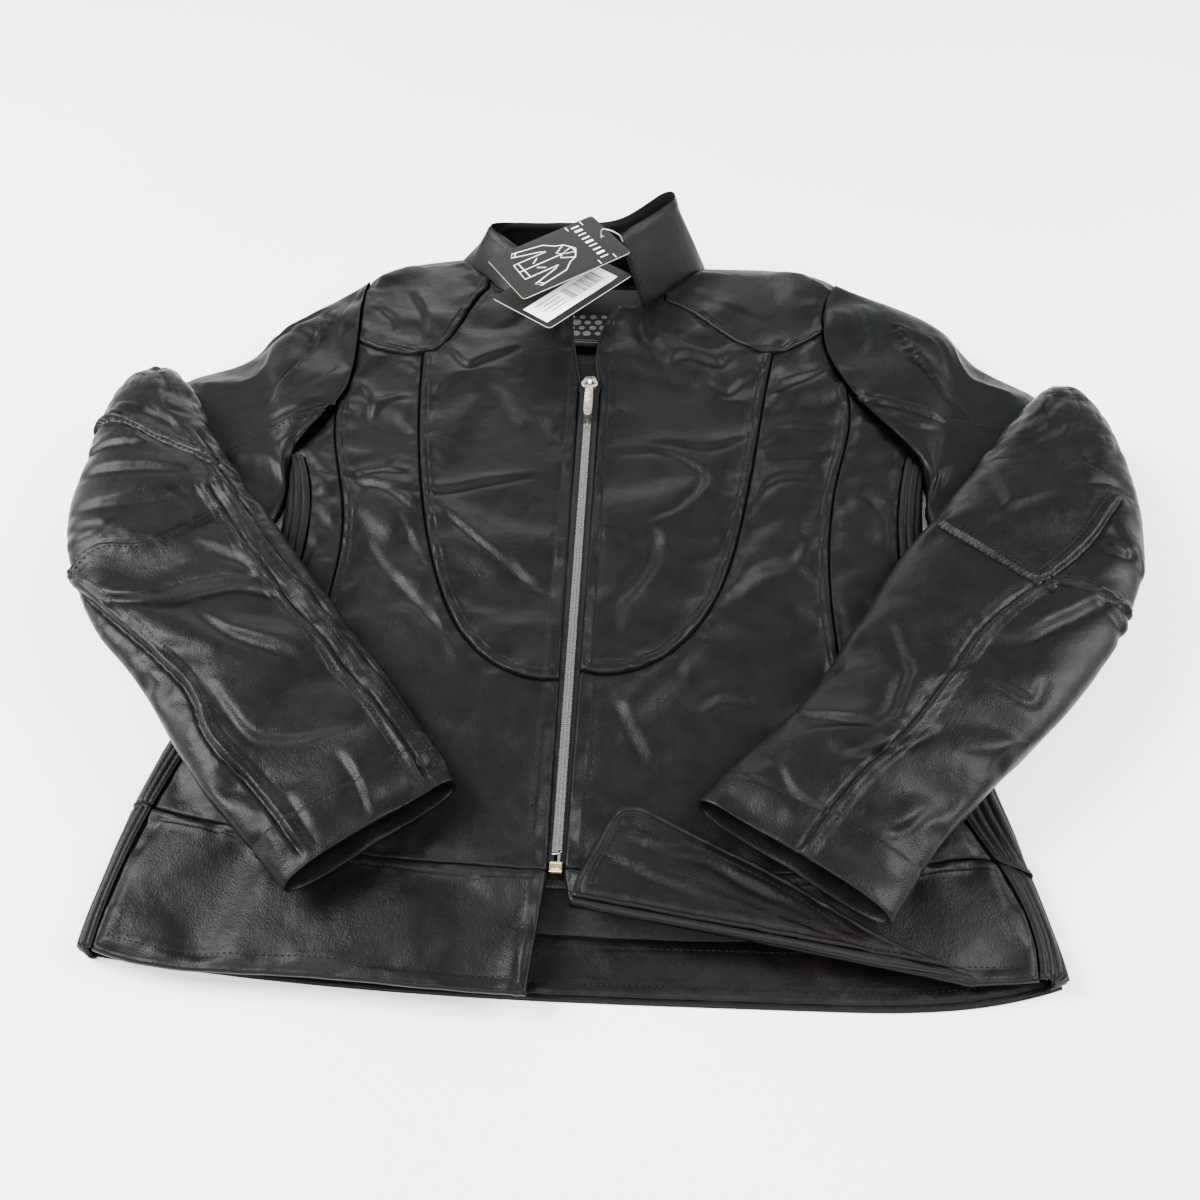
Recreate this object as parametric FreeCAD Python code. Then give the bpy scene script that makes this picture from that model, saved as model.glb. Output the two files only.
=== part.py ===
import FreeCAD, Part

import math
import os

from FreeCAD import Vector

# Leather zip jacket with a stand collar, lying on its back with the front up.
# Frame in millimetres: +Z up from the floor, hem towards -Y, collar towards +Y.
# "right" and "left" are the wearer's: the wearer's right is at -X.

# ---- driving dimensions ----
LEATHER = 1.4            # thickness of the garment leather
LINING = 0.8             # thickness of the lining cloth
PLY_GAP = 0.3            # air between two plies
BODY_GAP = 0.6           # air between pieces that move apart
ZIP_X = -13.0            # centre line of the closed zip
ZIP_BOTTOM_Y = -250.0    # where the chain meets its bottom box
ZIP_TOP_Y = 132.0        # where the slider stands
ZIP_LOW_Z = 20.0         # height of the leather beside the bottom box
ZIP_SLOPE = 0.0288       # rise of the front towards the chest
FRONT_EDGE = 4.2         # from the zip's centre line to the leather edge
SIDE_DROP = 5.0          # how far the front falls towards its sides
FULL_HALF_WIDTH = 220.0
SHOULDER_START_Y = 230.0
SHOULDER_DROP = 9.0      # how far the front falls at the shoulder seam
SHOULDER_RUN = 80.0
SLEEVE_GAP = 0.3         # air between sleeve leather and sleeve lining
TOOTH_PITCH = 2.8
TOOTH_SIZE = (3.4, 1.2, 2.2)
TOOTH_REACH = 0.8        # how far a tooth passes the chain's centre line
TEETH_START_Y = -244.0
TAPE = 0.5               # thickness of the zip tape
TAPE_DEPTH = 1.6         # top of the tape below the top of the leather
TAPE_NEAR, TAPE_FAR = 1.0, 6.8          # edges of the tape from the chain's centre line
NECK_TAPE = (-1.5, 1.4)  # edges of the open tape from the neck edge of the leather
TOOTH_LIFT = 0.05        # teeth clear of the tape
TEETH_SHORT = 6.0        # the chain ends below the slider's centre
TAPE_SHORT = 8.0         # where the tapes part, below the slider's centre
SLIDER_SIZE = (9.5, 13.0)
SLIDER_PLATE = 1.0
SLIDER_TOP, SLIDER_UNDER = 1.3, -2.5   # inner faces of its two plates, from the top of the leather
PULL_AXIS = 3.9          # height of the pull's pin above the top of the leather
PULL_PIN = 0.7
EYE = (12.0, 9.0)        # outer width and length of the pull's eye
PULL_BAR = (6.0, 30.0, 1.4)
SLIDER_NOSE, SLIDER_TAIL = 2.6, 3.4    # half widths at the neck end and the hem end
SLIDER_SHOULDER = 3.0    # its widest place, from its centre towards the neck
POST = (0.8, 3.0, 6.0)   # half width, and where it starts and ends along the zip
BRIDGE = (1.3, 4.0, 2.2) # half width, half length, and half length of its opening
BRIDGE_ROOF, BRIDGE_WALL = 1.2, 0.8
OVERLAP = 0.1            # how far fused pieces run into each other
EYE_WALL = 1.8
EYE_STRETCH = 1.0        # the eye is this much longer than its drawn length
EYE_ON_PIN = 0.2
BAR_IN_EYE, BAR_ROUND = 0.6, 1.4
ZIP_BOX = (6.5, 6.0, 3.4)
ZIP_BOX_GAP, ZIP_BOX_ROUND = 0.2, 0.8
ZIP_PIN = (0.6, 2.0, 0.9)              # its sides from the centre line, and half height
WIND_FLAP = (-29.0, 3.0, -262.0, 165.0)
WIND_FLAP_DEPTH = 4.6
CARD = (92.0, 58.0, 0.7)
CARD_CORNER = 3.0
CARD_HOLE = 2.2
CARD_HOLE_INSET = 8.0    # from the short edge to the hole's centre
CARD_DRILL = 3.0         # beyond both faces of a card
SIDE_WALL = 2.0          # thickness of the leather at the body's side
LINING_INSET = 2.8       # the lining stops short of the leather's edge
ZIP_FACING = 26.0        # width of the leather facing behind the zip
FLAP_LOW_Z = 21.5
FAR = 400.0              # beyond the garment on every side
BELOW, ABOVE = -5.0, 110.0   # under and over the garment
SIDE_RUN = 5             # which run of a front's outline is its side
LABEL = (-46, 214, 24, 292)
HEM_FACING_TOP = [(-FAR, -262), (-133, -276), (-23, -281), (108, -281), (FAR, -262)]
COLLAR_PLY = 1.6
SHEET_X, SHEET_Y = range(-273, 260, 52), range(-340, 341, 40)      # where the crowned sheet is measured
LIFTED = 60.0            # height of the block below the front
EDGE_OVERRUN = 6.0       # the front's straight edge runs on below the zip's bottom
FLAP_FACING_INSET = 1.5

# ---- outline points, as (x, y) ----
BACK_HEM = [(-246, -300), (-133, -311), (-23, -315), (108, -315), (190, -311), (238, -299)]
SIDE_LEFT = [(238, -299), (231, -250), (222, -200), (208, -110), (206, -20), (216, 60)]
ARMHOLE_LEFT = [(216, 60), (191, 100), (176, 129), (164, 163), (160, 196), (166, 243), (178, 274)]
SHOULDER_LEFT = [(178, 274), (150, 295), (104, 298), (70, 297)]
BACK_NECK = [(70, 297), (0, 308), (-60, 310), (-124, 304)]
SHOULDER_RIGHT = [(-124, 304), (-158, 297), (-190, 276), (-196, 258)]
ARMHOLE_RIGHT = [(-196, 258), (-194, 225), (-190, 182), (-187, 140), (-191, 108), (-214, 55)]
SIDE_RIGHT = [(-214, 55), (-206, -20), (-213, -110), (-234, -181), (-241, -222), (-246, -300)]
FRONT_HEM_RIGHT = [(-246, -300), (-221, -308), (-133, -314), (-84, -317), (-23, -320)]

BIB_RIGHT = [(-138, 165), (-131, 91), (-117, 9), (-97, -63), (-70, -112), (-45, -130), (-17.2, -133)]
BIB_LEFT = [(121, 176), (108, 101), (91, -1), (71, -72), (48, -108), (24, -125), (-8.8, -126)]
PRINCESS_RIGHT = [(-192, 114), (-183, 56), (-168, 0), (-163, -52), (-170, -130), (-184, -234)]
PRINCESS_LEFT = [(172, 129), (168, 90), (157, 46), (148, 0), (143, -60), (147, -140), (168, -244)]
YOKE_RIGHT = [(-98, 249), (-112, 210), (-138, 165), (-165, 167), (-191, 182)]
YOKE_LEFT = [(40, 236), (76, 205), (104, 181), (121, 176), (138, 184), (162, 205)]
BAND_RIGHT = [(-17.2, -255), (-61, -253), (-107, -250), (-184, -234), (-212, -228), (-240, -220)]
BAND_LEFT = [(-8.8, -253), (60, -254), (120, -250), (168, -244), (204, -237), (232, -247)]
RIB_RIGHT = [(-205, 52), (-188, -20), (-197, -110), (-219, -180), (-231, -227), (-238, -306)]
RIB_LEFT = [(206, 68), (190, -20), (190, -120), (202, -216), (214, -240), (222, -306)]
NECK_RIGHT = [(-21, 134), (-29, 190), (-32, 225)]
NECK_LEFT = [(-5, 134), (-7, 190), (5, 230)]
COLLAR_SEAM_RIGHT = [(-32, 225), (-80, 243), (-106, 272), (-124, 304)]
COLLAR_SEAM_LEFT = [(5, 230), (24, 232), (50, 262), (70, 297)]
FOLD_START, FOLD_END = (-5.0, -273.0), (189.0, -305.0)
FLAP_EDGE = [(-4.8, -272), (-2, -260), (7, -237), (19, -217), (46, -226), (102, -257), (150, -288),
             (188, -304)]

# ---- sleeves: each section runs from its inner side to its outer side, then low and high ----
FOREARM_RIGHT = [
    ((-67, -215), (-144, -280), 27, 48), ((-89, -182), (-179, -245), 27, 51),
    ((-115, -145), (-207, -216), 27, 54), ((-143, -110), (-248, -163), 27, 57),
    ((-176, -67), (-300, -104), 27, 60), ((-207, -26), (-326, -45), 27, 62),
    ((-235, 10), (-335, 18), 27, 62), ((-262, 50), (-338, 60), 27, 61),
    ((-284, 91), (-335, 98), 27, 58), ((-300, 113), (-325, 118), 31, 50)]
FOREARM_LEFT = [
    ((59, -222), (151, -286), 27, 48), ((82, -196), (180, -243), 27, 51),
    ((113, -163), (215, -206), 27, 54), ((147, -110), (268, -150), 27, 57),
    ((178, -56), (313, -84), 27, 60), ((214, -6), (333, -22), 27, 62),
    ((246, 40), (338, 33), 27, 62), ((270, 76), (336, 75), 27, 61),
    ((291, 106), (329, 106), 27, 57), ((304, 119), (319, 119), 31, 50)]
UPPER_ARM_RIGHT = [
    ((-168, 95), (-168, 262), 0, 33), ((-205, 68), (-207, 258), 0, 34),
    ((-221, 42), (-244, 210), 0, 31), ((-229, 16), (-272, 168), 0, 26.4),
    ((-238, -6), (-314, 138), 0, 26.4), ((-254, -14), (-334, 92), 0, 26.4),
    ((-284, -12), (-330, 40), 0, 26), ((-305, -2), (-318, 16), 6, 18)]
UPPER_ARM_LEFT = [
    ((165, 100), (152, 279), 0, 33), ((204, 72), (196, 275), 0, 34),
    ((225, 40), (242, 238), 0, 31), ((233, 16), (275, 184), 0, 26.4),
    ((241, -6), (318, 140), 0, 26.4), ((256, -14), (334, 92), 0, 26.4),
    ((284, -12), (332, 40), 0, 26), ((305, -2), (318, 16), 6, 18)]
SLEEVE_ROUND = 0.88               # corner radius of a sleeve section, as a share of its half height
CUFF_HEM = 25.0                   # depth of the turned cuff
CUFF_BLOCK = 200.0       # beyond the cuff's mouth
FOREARM_SPLIT_Z, UPPER_SPLIT_Z = 40.0, 14.0
FOREARM_SEAM_RIGHT = [(-330, 40), (-290, -80), (-277, -119), (-219, -170), (-196, -204), (-134, -268),
                      (-100, -330)]
FOREARM_SEAM_LEFT = [(330, 40), (285, -40), (256, -78), (217, -112), (190, -152), (165, -187), (105, -257),
                     (80, -330)]
ELBOW_SEAM_RIGHT = [(-180, -20), (-237, 4), (-285, 26), (-360, 60)]
ELBOW_SEAM_LEFT = [(180, -20), (208, -23), (255, -45), (312, -15), (360, 20)]

COLLAR_BASE = [(-33, 226, 36), (-80, 243, 35), (-106, 272, 33), (-126, 302, 28), (-62, 306, 16),
               (2, 305, 15), (66, 306, 30), (72, 292, 38), (50, 262, 39), (24, 232, 38)]
COLLAR_TOP = [(-38, 262, 49), (-66, 268, 52), (-85, 284, 54), (-99, 304, 56), (-52, 314, 52),
              (0, 317, 54), (38, 318, 78), (46, 306, 80), (28, 280, 80), (4, 252, 79)]
COLLAR_RIGHT_END, COLLAR_BACK_END = 3, 6      # stations where the right and back parts end

# ---- hang tags: hole centre, direction of the long side away from the hole, and of the short side ----
FRONT_CARD = ((-9.0, 252.0, 77.0), (-0.835, -0.538, -0.11), (0.53, -0.845, -0.03))
BACK_CARD = ((-13.0, 245.0, 57.0), (-0.63, -0.777, 0.0), (0.777, -0.63, 0.0))
FASTENER_POINTS = [(8.0, 250.0, 72.0), (3.5, 250.5, 81.0), (-9.0, 252.0, 84.0), (-9.0, 252.0, 70.0),
                   (-13.0, 245.0, 62.0), (-13.0, 245.0, 50.0)]
FASTENER = 0.9           # diameter of the plastic loop
FASTENER_BAR = (9.0, 0.8)      # length, and radius as a share of the loop's diameter
FASTENER_HOLE = 0.6      # radius of the hole that it passes in the collar
STICKER = (10.0, 52.0, 78.0, 24.0, 0.2)       # start along, far edge across, length, width, thickness

os.makedirs("parts", exist_ok=True)


def save(name, shape):
    """One node per piece, as a STEP file of its own."""
    shape.exportStep("parts/" + name + ".step")


def flat(points, z=0.0):
    return [Vector(x, y, z) for x, y in points]


def curve(points, z=0.0):
    """One smooth edge through plan points."""
    spline = Part.BSplineCurve()
    spline.interpolate(flat(points, z))
    return spline.toShape()


def prism(edges, low=BELOW, high=ABOVE):
    """A tall block over a closed plan outline."""
    wire = Part.Wire(Part.__sortEdges__(edges))
    block = Part.Face(wire).extrude(Vector(0, 0, high - low))
    block.translate(Vector(0, 0, low))
    return block


def closed(*runs):
    """Smooth runs joined end to end, with straight edges where ends are apart."""
    edges = []
    for here, there in zip(runs, runs[1:] + runs[:1]):
        edges.append(curve(here) if len(here) > 2 else Part.makeLine(*flat(here)))
        if math.dist(here[-1], there[0]) > 0.01:
            edges.append(Part.makeLine(Vector(*here[-1], 0), Vector(*there[0], 0)))
    return edges


def front_height(x, y):
    """Top of the front leather: highest along the zip and at the chest."""
    across = min(abs(x - ZIP_X) / FULL_HALF_WIDTH, 1.2)
    shoulder = max(0.0, y - SHOULDER_START_Y) / SHOULDER_RUN
    along_zip = ZIP_LOW_Z + (y - ZIP_BOTTOM_Y) * ZIP_SLOPE
    return along_zip - SIDE_DROP * across ** 2 - SHOULDER_DROP * shoulder ** 2


def front_ply(depth, thickness):
    """A crowned sheet that follows the front, depth below its top."""
    rows = [[Vector(x, y, front_height(x, y) - depth) for y in SHEET_Y] for x in SHEET_X]
    surface = Part.BSplineSurface()
    surface.interpolate(rows)
    return surface.toShape().extrude(Vector(0, 0, -thickness))


def smaller(runs, margin):
    """The same outline, drawn in towards its middle by about the margin."""
    xs = [x for run in runs for x, _ in run]
    ys = [y for run in runs for _, y in run]
    middle_x, middle_y = 0.5 * (min(xs) + max(xs)), 0.5 * (min(ys) + max(ys))
    scale_x = 1 - 2 * margin / (max(xs) - min(xs))
    scale_y = 1 - 2 * margin / (max(ys) - min(ys))
    return [[(middle_x + (x - middle_x) * scale_x, middle_y + (y - middle_y) * scale_y) for x, y in run]
            for run in runs]


FRONT = front_ply(0.0, LEATHER)
FRONT_LINING = front_ply(LEATHER + PLY_GAP, LINING)
BELOW_FRONT = front_ply(LEATHER, LIFTED)


def build_back():
    outline = [BACK_HEM, SIDE_LEFT, ARMHOLE_LEFT, SHOULDER_LEFT, BACK_NECK, SHOULDER_RIGHT,
               ARMHOLE_RIGHT, SIDE_RIGHT]
    save("back_panel", prism(closed(*outline), 0.0, LEATHER))
    low = LEATHER + PLY_GAP
    inside = prism(closed(*smaller(outline, LINING_INSET)), low, low + LINING)
    above_hem = prism(closed(HEM_FACING_TOP, [(FAR, FAR), (-FAR, FAR)]))
    save("back_lining", inside.common(above_hem))
    save("back_hem_facing", inside.cut(above_hem))
    corners = [(LABEL[0], LABEL[1]), (LABEL[2], LABEL[1]), (LABEL[2], LABEL[3]), (LABEL[0], LABEL[3])]
    save("neck_label", prism(closed(corners[:2], corners[2:]), low + LINING, low + 2 * LINING))


def build_front(side, runs, bib, princess, yoke, band, rib):
    """The leather panels of one front, cut from the crowned sheet at their seams."""
    edge_x = bib[-1][0]
    outer = math.copysign(FAR, princess[0][0])
    inside_bib = prism(closed(bib, [(edge_x, FAR), (bib[0][0], FAR)]))
    inside_princess = prism(closed(princess, [(princess[-1][0], -FAR), (edge_x, -FAR)],
                                   [(edge_x, FAR), (princess[0][0], FAR)]))
    above_yoke = prism(closed(yoke, [(outer, yoke[-1][1]), (outer, FAR)], [(outer, FAR), (yoke[0][0], FAR)]))
    above_band = prism(closed(band, [(outer, band[-1][1]), (outer, FAR)], [(outer, FAR), (edge_x, FAR)]))
    beside_rib = prism(closed(rib, [(rib[-1][0], -FAR), (outer, -FAR)], [(outer, -FAR), (outer, rib[0][1])]))
    sheet = FRONT.common(prism(closed(*runs)))
    side_run = runs[SIDE_RUN]
    wall_inner = [(x - math.copysign(SIDE_WALL, outer), y) for x, y in side_run]
    wall = prism(closed(side_run, wall_inner[::-1]), LEATHER + PLY_GAP, FAR).common(BELOW_FRONT)

    save(side + "_yoke", sheet.common(above_yoke))
    sheet = sheet.cut(above_yoke)
    save(side + "_front_bib", sheet.common(inside_bib))
    sheet = sheet.cut(inside_bib)
    band_part = sheet.cut(above_band)
    sheet = sheet.common(above_band)
    save(side + "_front_panel", sheet.common(inside_princess))
    sheet = sheet.cut(inside_princess)
    save(side + "_side_panel", sheet.cut(beside_rib))
    save(side + "_side_rib", sheet.common(beside_rib).fuse(wall.common(above_band)))
    save(side + "_hem_band", band_part.cut(beside_rib))
    save(side + "_hem_rib", band_part.common(beside_rib).fuse(wall.cut(above_band)))

    lining = FRONT_LINING.common(prism(closed(*smaller(runs, LINING_INSET)))).cut(wall)
    facing_x = edge_x + math.copysign(ZIP_FACING, outer)
    beside_zip = prism(closed([(edge_x, -FAR), (facing_x, -FAR)], [(facing_x, FAR), (edge_x, FAR)]))
    save(side + "_zip_facing", lining.common(beside_zip))
    save(side + "_front_lining", lining.cut(beside_zip))


def build_fronts():
    edge = ZIP_X - FRONT_EDGE
    right = [[(edge, ZIP_BOTTOM_Y - EDGE_OVERRUN), NECK_RIGHT[0]], NECK_RIGHT, COLLAR_SEAM_RIGHT,
             SHOULDER_RIGHT, ARMHOLE_RIGHT, SIDE_RIGHT, FRONT_HEM_RIGHT]
    build_front("right", right, BIB_RIGHT, PRINCESS_RIGHT, YOKE_RIGHT, BAND_RIGHT, RIB_RIGHT)
    edge = ZIP_X + FRONT_EDGE
    left = [[(edge, ZIP_BOTTOM_Y - EDGE_OVERRUN), NECK_LEFT[0]], NECK_LEFT, COLLAR_SEAM_LEFT,
            SHOULDER_LEFT[::-1], ARMHOLE_LEFT[::-1], SIDE_LEFT[::-1], [SIDE_LEFT[0], FOLD_END],
            [FOLD_END, FOLD_START]]
    build_front("left", left, BIB_LEFT, PRINCESS_LEFT, YOKE_LEFT, BAND_LEFT, RIB_LEFT)


def build_hem_flap():
    """The left front's lower corner, folded up over the front: leather under, facing on top."""
    low = FLAP_LOW_Z
    save("hem_flap", prism(closed(FLAP_EDGE), low, low + LEATHER))
    low += LEATHER + PLY_GAP
    save("hem_flap_facing", prism(closed(*smaller([FLAP_EDGE], FLAP_FACING_INSET)), low, low + LINING))


def section(inner, outer, low, high, shrink):
    """An upright rounded rectangle between two plan points."""
    middle = Vector(0.5 * (inner[0] + outer[0]), 0.5 * (inner[1] + outer[1]), 0.5 * (low + high))
    across = Vector(outer[0] - inner[0], outer[1] - inner[1], 0)
    half_width, half_height = 0.5 * across.Length - shrink, 0.5 * (high - low) - shrink
    across.normalize()
    radius = SLEEVE_ROUND * min(half_height, half_width)
    diagonal = radius * math.sqrt(0.5)

    def at(w, h):
        return middle + across * w + Vector(0, 0, h)

    arcs = []
    for side, up in ((1, 1), (-1, 1), (-1, -1), (1, -1)):
        w, h = side * (half_width - radius), up * (half_height - radius)
        ends = [at(w + side * radius, h), at(w, h + up * radius)]
        if side != up:
            ends.reverse()
        arcs.append(Part.Arc(ends[0], at(w + side * diagonal, h + up * diagonal), ends[1]).toShape())
    edges = []
    for here, there in zip(arcs, arcs[1:] + arcs[:1]):
        edges += [here, Part.makeLine(here.lastVertex().Point, there.firstVertex().Point)]
    return Part.Wire(edges)


def sleeve_body(sections, shrink):
    """A solid through the sections. Shrunk, it stops short of the closed end and runs out of the open one."""
    sections = list(sections)
    if shrink:
        (ax, ay), (bx, by), low, high = sections[0]
        (cx, cy), (dx, dy) = sections[1][:2]
        sections = [((2 * ax - cx, 2 * ay - cy), (2 * bx - dx, 2 * by - dy), low, high)] + sections[:-1]
    return Part.makeLoft([section(*row, shrink) for row in sections], True, True)


def sleeve_plies(sections):
    """The leather tube and the lining tube inside it."""
    inside = LEATHER + SLEEVE_GAP
    whole = sleeve_body(sections, 0.0)
    leather = whole.cut(sleeve_body(sections, LEATHER))
    lining = sleeve_body(sections, inside).common(whole).cut(sleeve_body(sections, inside + LINING))
    return leather, lining


def build_upper_arm(side, sections, armhole):
    outer = math.copysign(1, sections[0][0][0])
    seam = [(x + outer * BODY_GAP, y) for x, y in armhole]
    torso = prism(closed(seam, [(seam[-1][0], -FAR), (-outer, -FAR)], [(-outer, FAR), (seam[0][0], FAR)]))
    leather, lining = (ply.cut(torso) for ply in sleeve_plies(sections))
    above = Part.makeBox(2 * FAR, 2 * FAR, FAR, Vector(-FAR, -FAR, UPPER_SPLIT_Z))
    save(side + "_upper_arm_top", leather.common(above))
    save(side + "_upper_arm_under", leather.cut(above))
    save(side + "_upper_arm_lining", lining)


def build_forearm(side, sections, seam, elbow_seam):
    outer = math.copysign(FAR, sections[0][0][0])
    leather, lining = sleeve_plies(sections)
    (ax, ay), (bx, by) = sections[0][:2]
    along = Vector(by - ay, ax - bx, 0) if outer < 0 else Vector(ay - by, bx - ax, 0)
    along.normalize()
    near, far = Vector(ax, ay, 0) + along * CUFF_HEM, Vector(bx, by, 0) + along * CUFF_HEM
    wide = (far - near) * 2
    beyond = along * CUFF_BLOCK
    corners = [near - wide, far + wide, far + wide - beyond, near - wide - beyond]
    cuff_block = Part.Face(Part.makePolygon(corners + corners[:1])).extrude(Vector(0, 0, ABOVE))
    cuff = leather.common(cuff_block)
    leather = leather.cut(cuff_block)
    above = Part.makeBox(2 * FAR, 2 * FAR, FAR, Vector(-FAR, -FAR, FOREARM_SPLIT_Z))
    beyond_elbow = prism(closed(elbow_seam, [(outer, FAR), (0, FAR)]))
    outside_seam = prism(closed(seam, [(outer, -FAR), (outer, FAR)]))
    save(side + "_cuff_hem", cuff)
    save(side + "_forearm_under", leather.cut(above))
    top = leather.common(above)
    save(side + "_elbow_panel", top.common(beyond_elbow))
    top = top.cut(beyond_elbow)
    save(side + "_forearm_outer", top.common(outside_seam))
    save(side + "_forearm_inner", top.cut(outside_seam))
    save(side + "_forearm_lining", lining)


def zip_height(y):
    return ZIP_LOW_Z + (y - ZIP_BOTTOM_Y) * ZIP_SLOPE


def box(x0, x1, y0, y1, z0, z1):
    return Part.makeBox(x1 - x0, y1 - y0, z1 - z0, Vector(x0, y0, z0))


def build_zip():
    length, thick, height = TOOTH_SIZE
    teeth_end = ZIP_TOP_Y - TEETH_SHORT
    for side, sign, shift in (("right", -1, 0.0), ("left", 1, 0.5 * TOOTH_PITCH)):
        teeth = []
        y = TEETH_START_Y + shift
        while y < teeth_end:
            tip, root = ZIP_X - sign * TOOTH_REACH, ZIP_X + sign * (length - TOOTH_REACH)
            low = zip_height(y) - TAPE_DEPTH + TOOTH_LIFT
            teeth.append(box(min(tip, root), max(tip, root), y, y + thick, low, low + height))
            y += TOOTH_PITCH
        save("zip_teeth_" + side, Part.makeCompound(teeth))
        neck = NECK_RIGHT if side == "right" else NECK_LEFT
        inner, outer = ([(x + sign * edge, y) for x, y in neck] for edge in NECK_TAPE)
        near, far = ZIP_X + sign * TAPE_NEAR, ZIP_X + sign * TAPE_FAR
        parting = ZIP_TOP_Y - TAPE_SHORT
        strip = prism(closed([(near, ZIP_BOTTOM_Y), (near, parting)], inner, outer[::-1],
                             [(far, parting), (far, ZIP_BOTTOM_Y)]))
        save("zip_tape_" + side, front_ply(TAPE_DEPTH, TAPE).common(strip))

    width, depth, high = ZIP_BOX
    z = zip_height(ZIP_BOTTOM_Y)
    block = box(ZIP_X - width / 2, ZIP_X + width / 2, ZIP_BOTTOM_Y - depth, ZIP_BOTTOM_Y - ZIP_BOX_GAP,
                z - high / 2, z + high / 2)
    save("zip_box", block.makeFillet(ZIP_BOX_ROUND, block.Edges))
    near, far, half = ZIP_PIN
    pin_end = TEETH_START_Y - ZIP_BOX_GAP
    save("zip_pin", box(ZIP_X + near, ZIP_X + far, ZIP_BOTTOM_Y, pin_end, z - half, z + half))
    x0, x1, y0, y1 = WIND_FLAP
    save("zip_wind_flap", front_ply(WIND_FLAP_DEPTH, LEATHER).common(box(x0, x1, y0, y1, 0, FAR)))


def build_slider():
    """Two plates joined by a post at the neck end, and a bridge that holds the pull's pin."""
    half_width, half_length = SLIDER_SIZE[0] / 2, SLIDER_SIZE[1] / 2
    y, z = ZIP_TOP_Y, zip_height(ZIP_TOP_Y)
    shoulder = y + SLIDER_SHOULDER
    outline = [(ZIP_X - SLIDER_TAIL, y - half_length), (ZIP_X + SLIDER_TAIL, y - half_length),
               (ZIP_X + half_width, shoulder), (ZIP_X + SLIDER_NOSE, y + half_length),
               (ZIP_X - SLIDER_NOSE, y + half_length), (ZIP_X - half_width, shoulder)]
    face = Part.Face(Part.makePolygon(flat(outline + outline[:1])))
    plate = face.extrude(Vector(0, 0, SLIDER_PLATE))
    top = plate.translated(Vector(0, 0, z + SLIDER_TOP))
    under = plate.translated(Vector(0, 0, z + SLIDER_UNDER - SLIDER_PLATE))
    half, near, far = POST
    post = box(ZIP_X - half, ZIP_X + half, y + near, y + far, z + SLIDER_UNDER - OVERLAP,
               z + SLIDER_TOP + OVERLAP)
    plate_top = z + SLIDER_TOP + SLIDER_PLATE
    bridge_top = z + PULL_AXIS + PULL_PIN + BRIDGE_ROOF
    half, length, opening = BRIDGE
    bridge = box(ZIP_X - half, ZIP_X + half, y - length, y + length, plate_top - OVERLAP, bridge_top)
    bridge = bridge.cut(box(ZIP_X - 2 * half, ZIP_X + 2 * half, y - opening, y + opening, plate_top,
                            bridge_top - BRIDGE_WALL))
    slider = top.fuse([under, post, bridge]).removeSplitter()
    save("zip_slider", slider)


def build_pull():
    """A pin under the bridge, an oval eye and a flat bar that lies down the chain."""
    y, z = ZIP_TOP_Y, zip_height(ZIP_TOP_Y) + PULL_AXIS
    eye_width, eye_length = EYE
    pin = Part.makeCylinder(PULL_PIN, eye_width - 2, Vector(ZIP_X - eye_width / 2 + 1, y, z), Vector(1, 0, 0))
    width, length, thick = PULL_BAR
    ring = Part.makeCylinder(eye_width / 2, thick, Vector(0, 0, 0)).cut(
        Part.makeCylinder(eye_width / 2 - EYE_WALL, thick, Vector(0, 0, 0)))
    squash = FreeCAD.Matrix()
    squash.scale(1.0, (eye_length + EYE_STRETCH) / eye_width, 1.0)
    ring = ring.transformGeometry(squash)
    ring.translate(Vector(ZIP_X, y - eye_length / 2 + EYE_ON_PIN, z - thick / 2))
    bar = box(ZIP_X - width / 2, ZIP_X + width / 2, y - eye_length - length, y - eye_length + BAR_IN_EYE,
              z - thick / 2, z + thick / 2)
    upright = [edge for edge in bar.Edges if edge.BoundBox.ZLength > thick / 2]
    save("zip_pull", pin.fuse([ring, bar.makeFillet(BAR_ROUND, upright)]).removeSplitter())


def ribbon(base, top, offset, thickness):
    """A standing band through matching base and top points, offset from that surface."""
    sections = []
    for i, (low, high) in enumerate(zip(base, top)):
        before, after = base[max(i - 1, 0)], base[min(i + 1, len(base) - 1)]
        normal = Vector(before[1] - after[1], after[0] - before[0], 0).normalize()
        low, high = Vector(*low), Vector(*high)
        near, far = normal * offset, normal * (offset + thickness)
        corners = [low + near, low + far, high + far, high + near]
        sections.append(Part.makePolygon(corners + corners[:1]))
    band = Part.makeLoft(sections, True, True)
    if band.Volume < 0:
        band.reverse()
    return band


def build_collar(fastener):
    """Three outer bands with their facings behind them. The fastener passes through the leather."""
    parts = (("collar_right", 0, COLLAR_RIGHT_END), ("collar_back", COLLAR_RIGHT_END, COLLAR_BACK_END),
             ("collar_left", COLLAR_BACK_END, len(COLLAR_BASE) - 1))
    bands, facings = [], []
    for name, first, last in parts:
        base, top = COLLAR_BASE[first:last + 1], COLLAR_TOP[first:last + 1]
        bands.append(ribbon(base, top, 0.0, COLLAR_PLY))
        facings.append(ribbon(base, top, -PLY_GAP - COLLAR_PLY, COLLAR_PLY))
        save(name, bands[-1].cut(fastener))
    save("collar_facing", Part.makeCompound([facing.cut(bands + [fastener]) for facing in facings]))


def card_frame(hole, along, across):
    along = Vector(*along).normalize()
    across = Vector(*across)
    across = (across - along * across.dot(along)).normalize()
    up = along.cross(across)
    if up.z < 0:
        up = -up
    return Vector(*hole), along, across, up


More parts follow.
